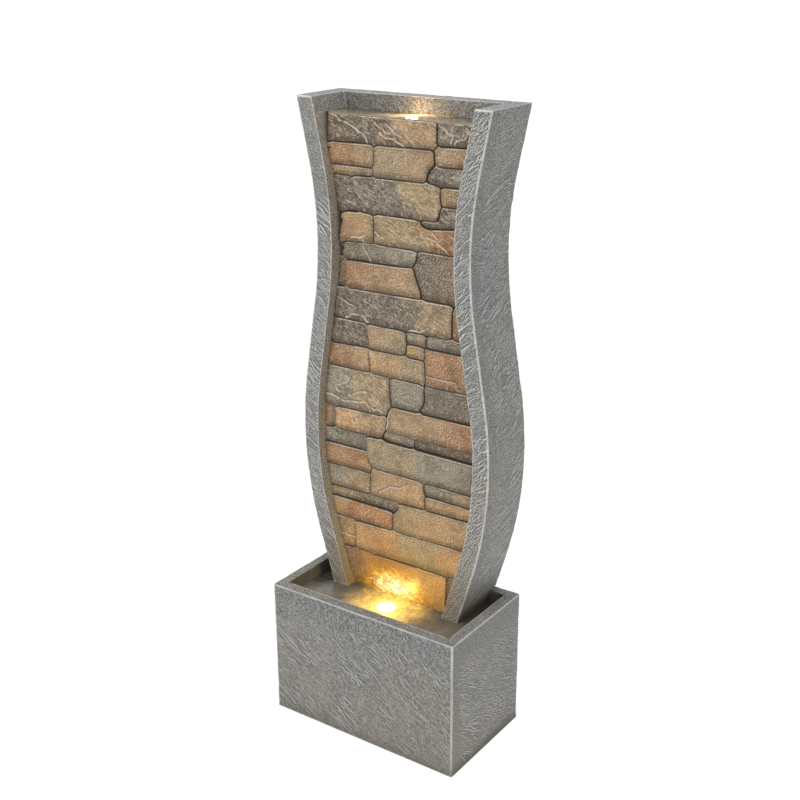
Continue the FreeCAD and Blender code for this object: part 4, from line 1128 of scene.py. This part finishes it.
def split_off(piece, name, floor):
    """Makes a piece of its own of the whole stones whose middle lies above a height."""
    edit(piece)
    bpy.ops.mesh.select_mode(type="VERT")
    bpy.ops.mesh.select_all(action="DESELECT")
    mesh = bmesh.from_edit_mesh(piece.data)
    mesh.verts.index_update()
    for part in islands(mesh):
        _, _, low, high = sides(part)
        if low + high > 2 * floor:
            for vert in part:
                vert.select = True
    mesh.select_flush(True)
    bmesh.update_edit_mesh(piece.data)
    bpy.ops.mesh.separate(type="SELECTED")
    leave_edit()
    fresh = [other for other in bpy.context.selected_objects if other is not piece][0]
    fresh.name = name
    return fresh


def make_sheet(name, low_x, high_x, low_y, high_y, z, pitch):
    """A level sheet of water."""
    size = Vector((high_x - low_x, high_y - low_y, 1))
    bpy.ops.object.select_all(action="DESELECT")
    bpy.ops.mesh.primitive_grid_add(
        x_subdivisions=round(size.x / pitch), y_subdivisions=round(size.y / pitch),
        size=1, location=((low_x + high_x) / 2, (low_y + high_y) / 2, z))
    piece = bpy.context.active_object
    piece.name = name
    piece.scale = size
    bpy.ops.object.transform_apply(location=True, rotation=False, scale=True)
    return piece


def ripple(place, across, along, seed):
    """Waves on water, from their numbers in a metre along x and y."""
    return noise.noise(Vector((place.x * across, place.y * along, seed)))


def make_pool():
    """Murky water in the basin, with painted shade beside the left of the body and the lower lamp's disc
    and glow painted on over the lamp.
    """
    inner_x = BASIN[1].x - BASIN_WALL + 0.2 * MM
    inner_y = BASIN[1].y - BASIN_WALL + 0.2 * MM
    piece = make_sheet("pool_water", -inner_x, inner_x, -inner_y, inner_y, POOL_Z, 2.5 * MM)
    for vert in piece.data.vertices:
        vert.co.z += (0.45 * ripple(vert.co, 26, 60, 3) + 0.2 * ripple(vert.co, 80, 150, 8)) * MM

    # Painted shade on the water beside the left of the body, broken by the ripples.
    def body_shade(place, normal):
        if place.x > 0:
            return 0.0
        beside = smooth_step(-place.x, 108 * MM, 124 * MM) * smooth_step(place.y, -34 * MM, -8 * MM)
        return beside * (0.72 + 0.54 * ripple(place, 60, 140, 5))

    write_amount(piece, "body_shade", body_shade)
    finish_with(piece, "thickness", "SOLIDIFY", thickness=2.5 * MM, offset=-1.0)
    soften(piece, 60)
    shades = (paint(134, 129, 116), paint(92, 87, 77), (-66 * MM, 20 * MM))
    finish = water("pool_water_murky", LOWER_LAMP, shades, glow=(1.0, 0.56, 0.07), disc=16 * MM,
                   reach=94 * MM, alpha=0.94)
    settle(piece, "root", None, finish)


def make_trough_water(left, right):
    """Water standing behind the top stones, and a film of it over their upper edge, with a painted
    reflection of the upper lamp.
    """
    half = TROUGH[1].x + 0.2 * MM
    lip_y = PANEL[0].y + 4 * MM
    piece = make_sheet("trough_water", -half, half, lip_y, RIM[0].y, TROUGH_WATER_Z, 2 * MM)
    for vert in piece.data.vertices:
        over = smooth_step(vert.co.y, lip_y + 4 * MM, lip_y)
        vert.co.z += (0.25 * ripple(vert.co, 40, 90, 1) - 1.6 * over) * MM
        if vert.co.y < LIP_BACK_Y:
            vert.co.x = min(right - 1 * MM, max(left + 1 * MM, vert.co.x))
    finish_with(piece, "thickness", "SOLIDIFY", thickness=1.0 * MM, offset=-1.0)
    soften(piece, 60)
    shades = (paint(158, 144, 120), paint(92, 87, 76), (LIP_BACK_Y, RIM[0].y - 8 * MM))
    # Painted reflection: a glare of the upper lamp drawn out sideways, with a glow round it.
    glare = UPPER_LAMP + Vector((9.5, 9, 0)) * MM
    finish = water("trough_water_clear", glare, shades, glow=(0.70, 0.42, 0.15), disc=5.0 * MM,
                   reach=30 * MM, alpha=0.88, stretch=(3.2, 1, 1), soft=0.65, turn=AZIMUTH)
    settle(piece, "root", None, finish)


def dress_fittings():
    """Gives every CAD node that stays in view the finish of its slot."""
    plain = {
        "rubber": ("rubber_black", 0.012, 0.035, 0.72, {}),
        "pump_plastic": ("pump_shell_black", 0.018, 0.040, 0.45, {}),
        "rotor_plastic": ("rotor_grey", 0.24, 0.34, 0.42, {}),
        "hose_vinyl": ("hose_cloudy_vinyl", 0.34, 0.46, 0.22, {"coat_weight": 0.4}),
        "clamp_steel": ("clamp_bright_steel", 0.42, 0.60, 0.28, {"metallic": 1.0}),
        "bracket_steel": ("bracket_brushed_steel", 0.30, 0.46, 0.38, {"metallic": 1.0}),
        "fitting_plastic": ("fitting_dark_grey", 0.035, 0.070, 0.48, {}),
        "lamp_plastic": ("lamp_black", 0.015, 0.032, 0.40, {}),
        "lamp_board": ("lamp_board_white", 0.55, 0.72, 0.35, {}),
    }
    finishes = {slot: moulded(name, grey(dark), grey(light), rough, **surface)
                for slot, (name, dark, light, rough, surface) in plain.items()}
    finishes["dial_plastic"] = moulded("dial_blue", (0.012, 0.05, 0.14), (0.02, 0.08, 0.20), 0.30)
    finishes["shaft_ceramic"] = moulded("shaft_white_ceramic", grey(0.70, 0.01), grey(0.80, 0.01), 0.15)
    finishes["tray_resin"] = moulded("tray_grey_resin", grey(0.10, 0.02), grey(0.17, 0.02), 0.60, 0.4 * MM)
    finishes["lamp_lens"] = lamp_lens()
    for part in frame["record"]["subparts"]:
        if part["material_slot"] in finishes:
            for slot in frame["nodes"][part["node"]].material_slots:
                slot.material = finishes[part["material_slot"]]


def make_camera():
    """The camera of the photograph."""
    forward = Vector((-math.sin(AZIMUTH) * math.cos(ELEVATION), math.cos(AZIMUTH) * math.cos(ELEVATION),
                      -math.sin(ELEVATION)))
    level = Vector((math.cos(AZIMUTH), math.sin(AZIMUTH), 0))
    over = level.cross(forward)
    across = level * math.cos(ROLL) + over * math.sin(ROLL)
    above = over * math.cos(ROLL) - level * math.sin(ROLL)
    lens = bpy.data.cameras.new("photo_camera")
    lens.lens = LENS
    lens.sensor_width = SENSOR
    lens.clip_start = 0.05
    lens.clip_end = 30
    camera = add_object("photo_camera", lens)
    turn = Matrix((across, above, -forward)).transposed().to_4x4()
    camera.matrix_world = Matrix.Translation(EYE) @ turn
    bpy.context.scene.camera = camera


def make_floor():
    """White floor that stays white to the camera and keeps a soft shadow."""
    bpy.ops.object.select_all(action="DESELECT")
    bpy.ops.mesh.primitive_plane_add(size=3.6, location=(0, 0, -0.2 * MM))
    floor = bpy.context.active_object
    floor.name = "studio_floor"
    finish = Finish("studio_white", base_color=(0.92, 0.92, 0.92), roughness=0.9)
    glow = finish.node("ShaderNodeEmission", {}, {"Color": (1.0, 1.0, 1.0), "Strength": 1.14})
    shade = Signal(finish, finish.shader.outputs[0])
    mixed = finish.node("ShaderNodeMixShader", {}, {0: finish.seen_directly() * 0.82, 1: shade, 2: glow})
    finish.feed(finish.tree.nodes["Material Output"].inputs["Surface"], mixed)
    floor.data.materials.append(finish.material)


def make_world():
    """White all round, at a plain level as light and at full white where it is seen."""
    world = bpy.data.worlds.new("studio_world")
    bpy.context.scene.world = world
    world.use_nodes = True
    graph = Graph(world.node_tree)
    light, plain = (graph.node("ShaderNodeBackground", {}, {"Color": (1.0, 1.0, 1.0), "Strength": strength})
                    for strength in (0.46, 1.05))
    mixed = graph.node("ShaderNodeMixShader", {}, {0: graph.seen_directly(), 1: light, 2: plain})
    graph.feed(graph.tree.nodes["World Output"].inputs["Surface"], mixed)


def make_soft_light(name, place, size, power):
    """A square lamp that looks at the middle of the fountain."""
    data = bpy.data.lights.new(name, "AREA")
    data.shape = "SQUARE"
    data.size = size
    data.energy = power
    light = add_object(name, data)
    light.location = place
    light.rotation_mode = "QUATERNION"
    light.rotation_quaternion = (Vector((0, 0, 0.5)) - Vector(place)).to_track_quat("-Z", "Y")


def make_lamp_light(name, place, colour, power):
    """The light that a submerged lamp throws on the stones and walls round its place."""
    data = bpy.data.lights.new(name, "POINT")
    data.energy = power
    data.color = colour
    data.shadow_soft_size = 9 * MM
    light = add_object(name, data)
    light.location = place + LIGHT_HEIGHT
    light.visible_camera = False


bpy.context.scene.view_settings.view_transform = "Standard"
make_camera()
make_floor()
make_world()
make_soft_light("key_light", (-0.9, -2.8, 2.6), 1.6, 46)
make_soft_light("side_light", (3.0, -0.6, 0.5), 1.6, 13)
make_soft_light("top_light", (0.2, -0.3, 3.2), 1.8, 30)
make_lamp_light("lower_lamp_light", LOWER_LAMP, LOWER_LIGHT, 0.32)
make_lamp_light("upper_lamp_light", UPPER_LAMP, UPPER_LIGHT, 0.08)

slate = slate_resin()
make_basin(slate)
make_surround(slate)
make_back(slate)
stone_row = make_stones(stone_paint(), joint_grout())
make_pool()
make_trough_water(*stone_row)
dress_fittings()
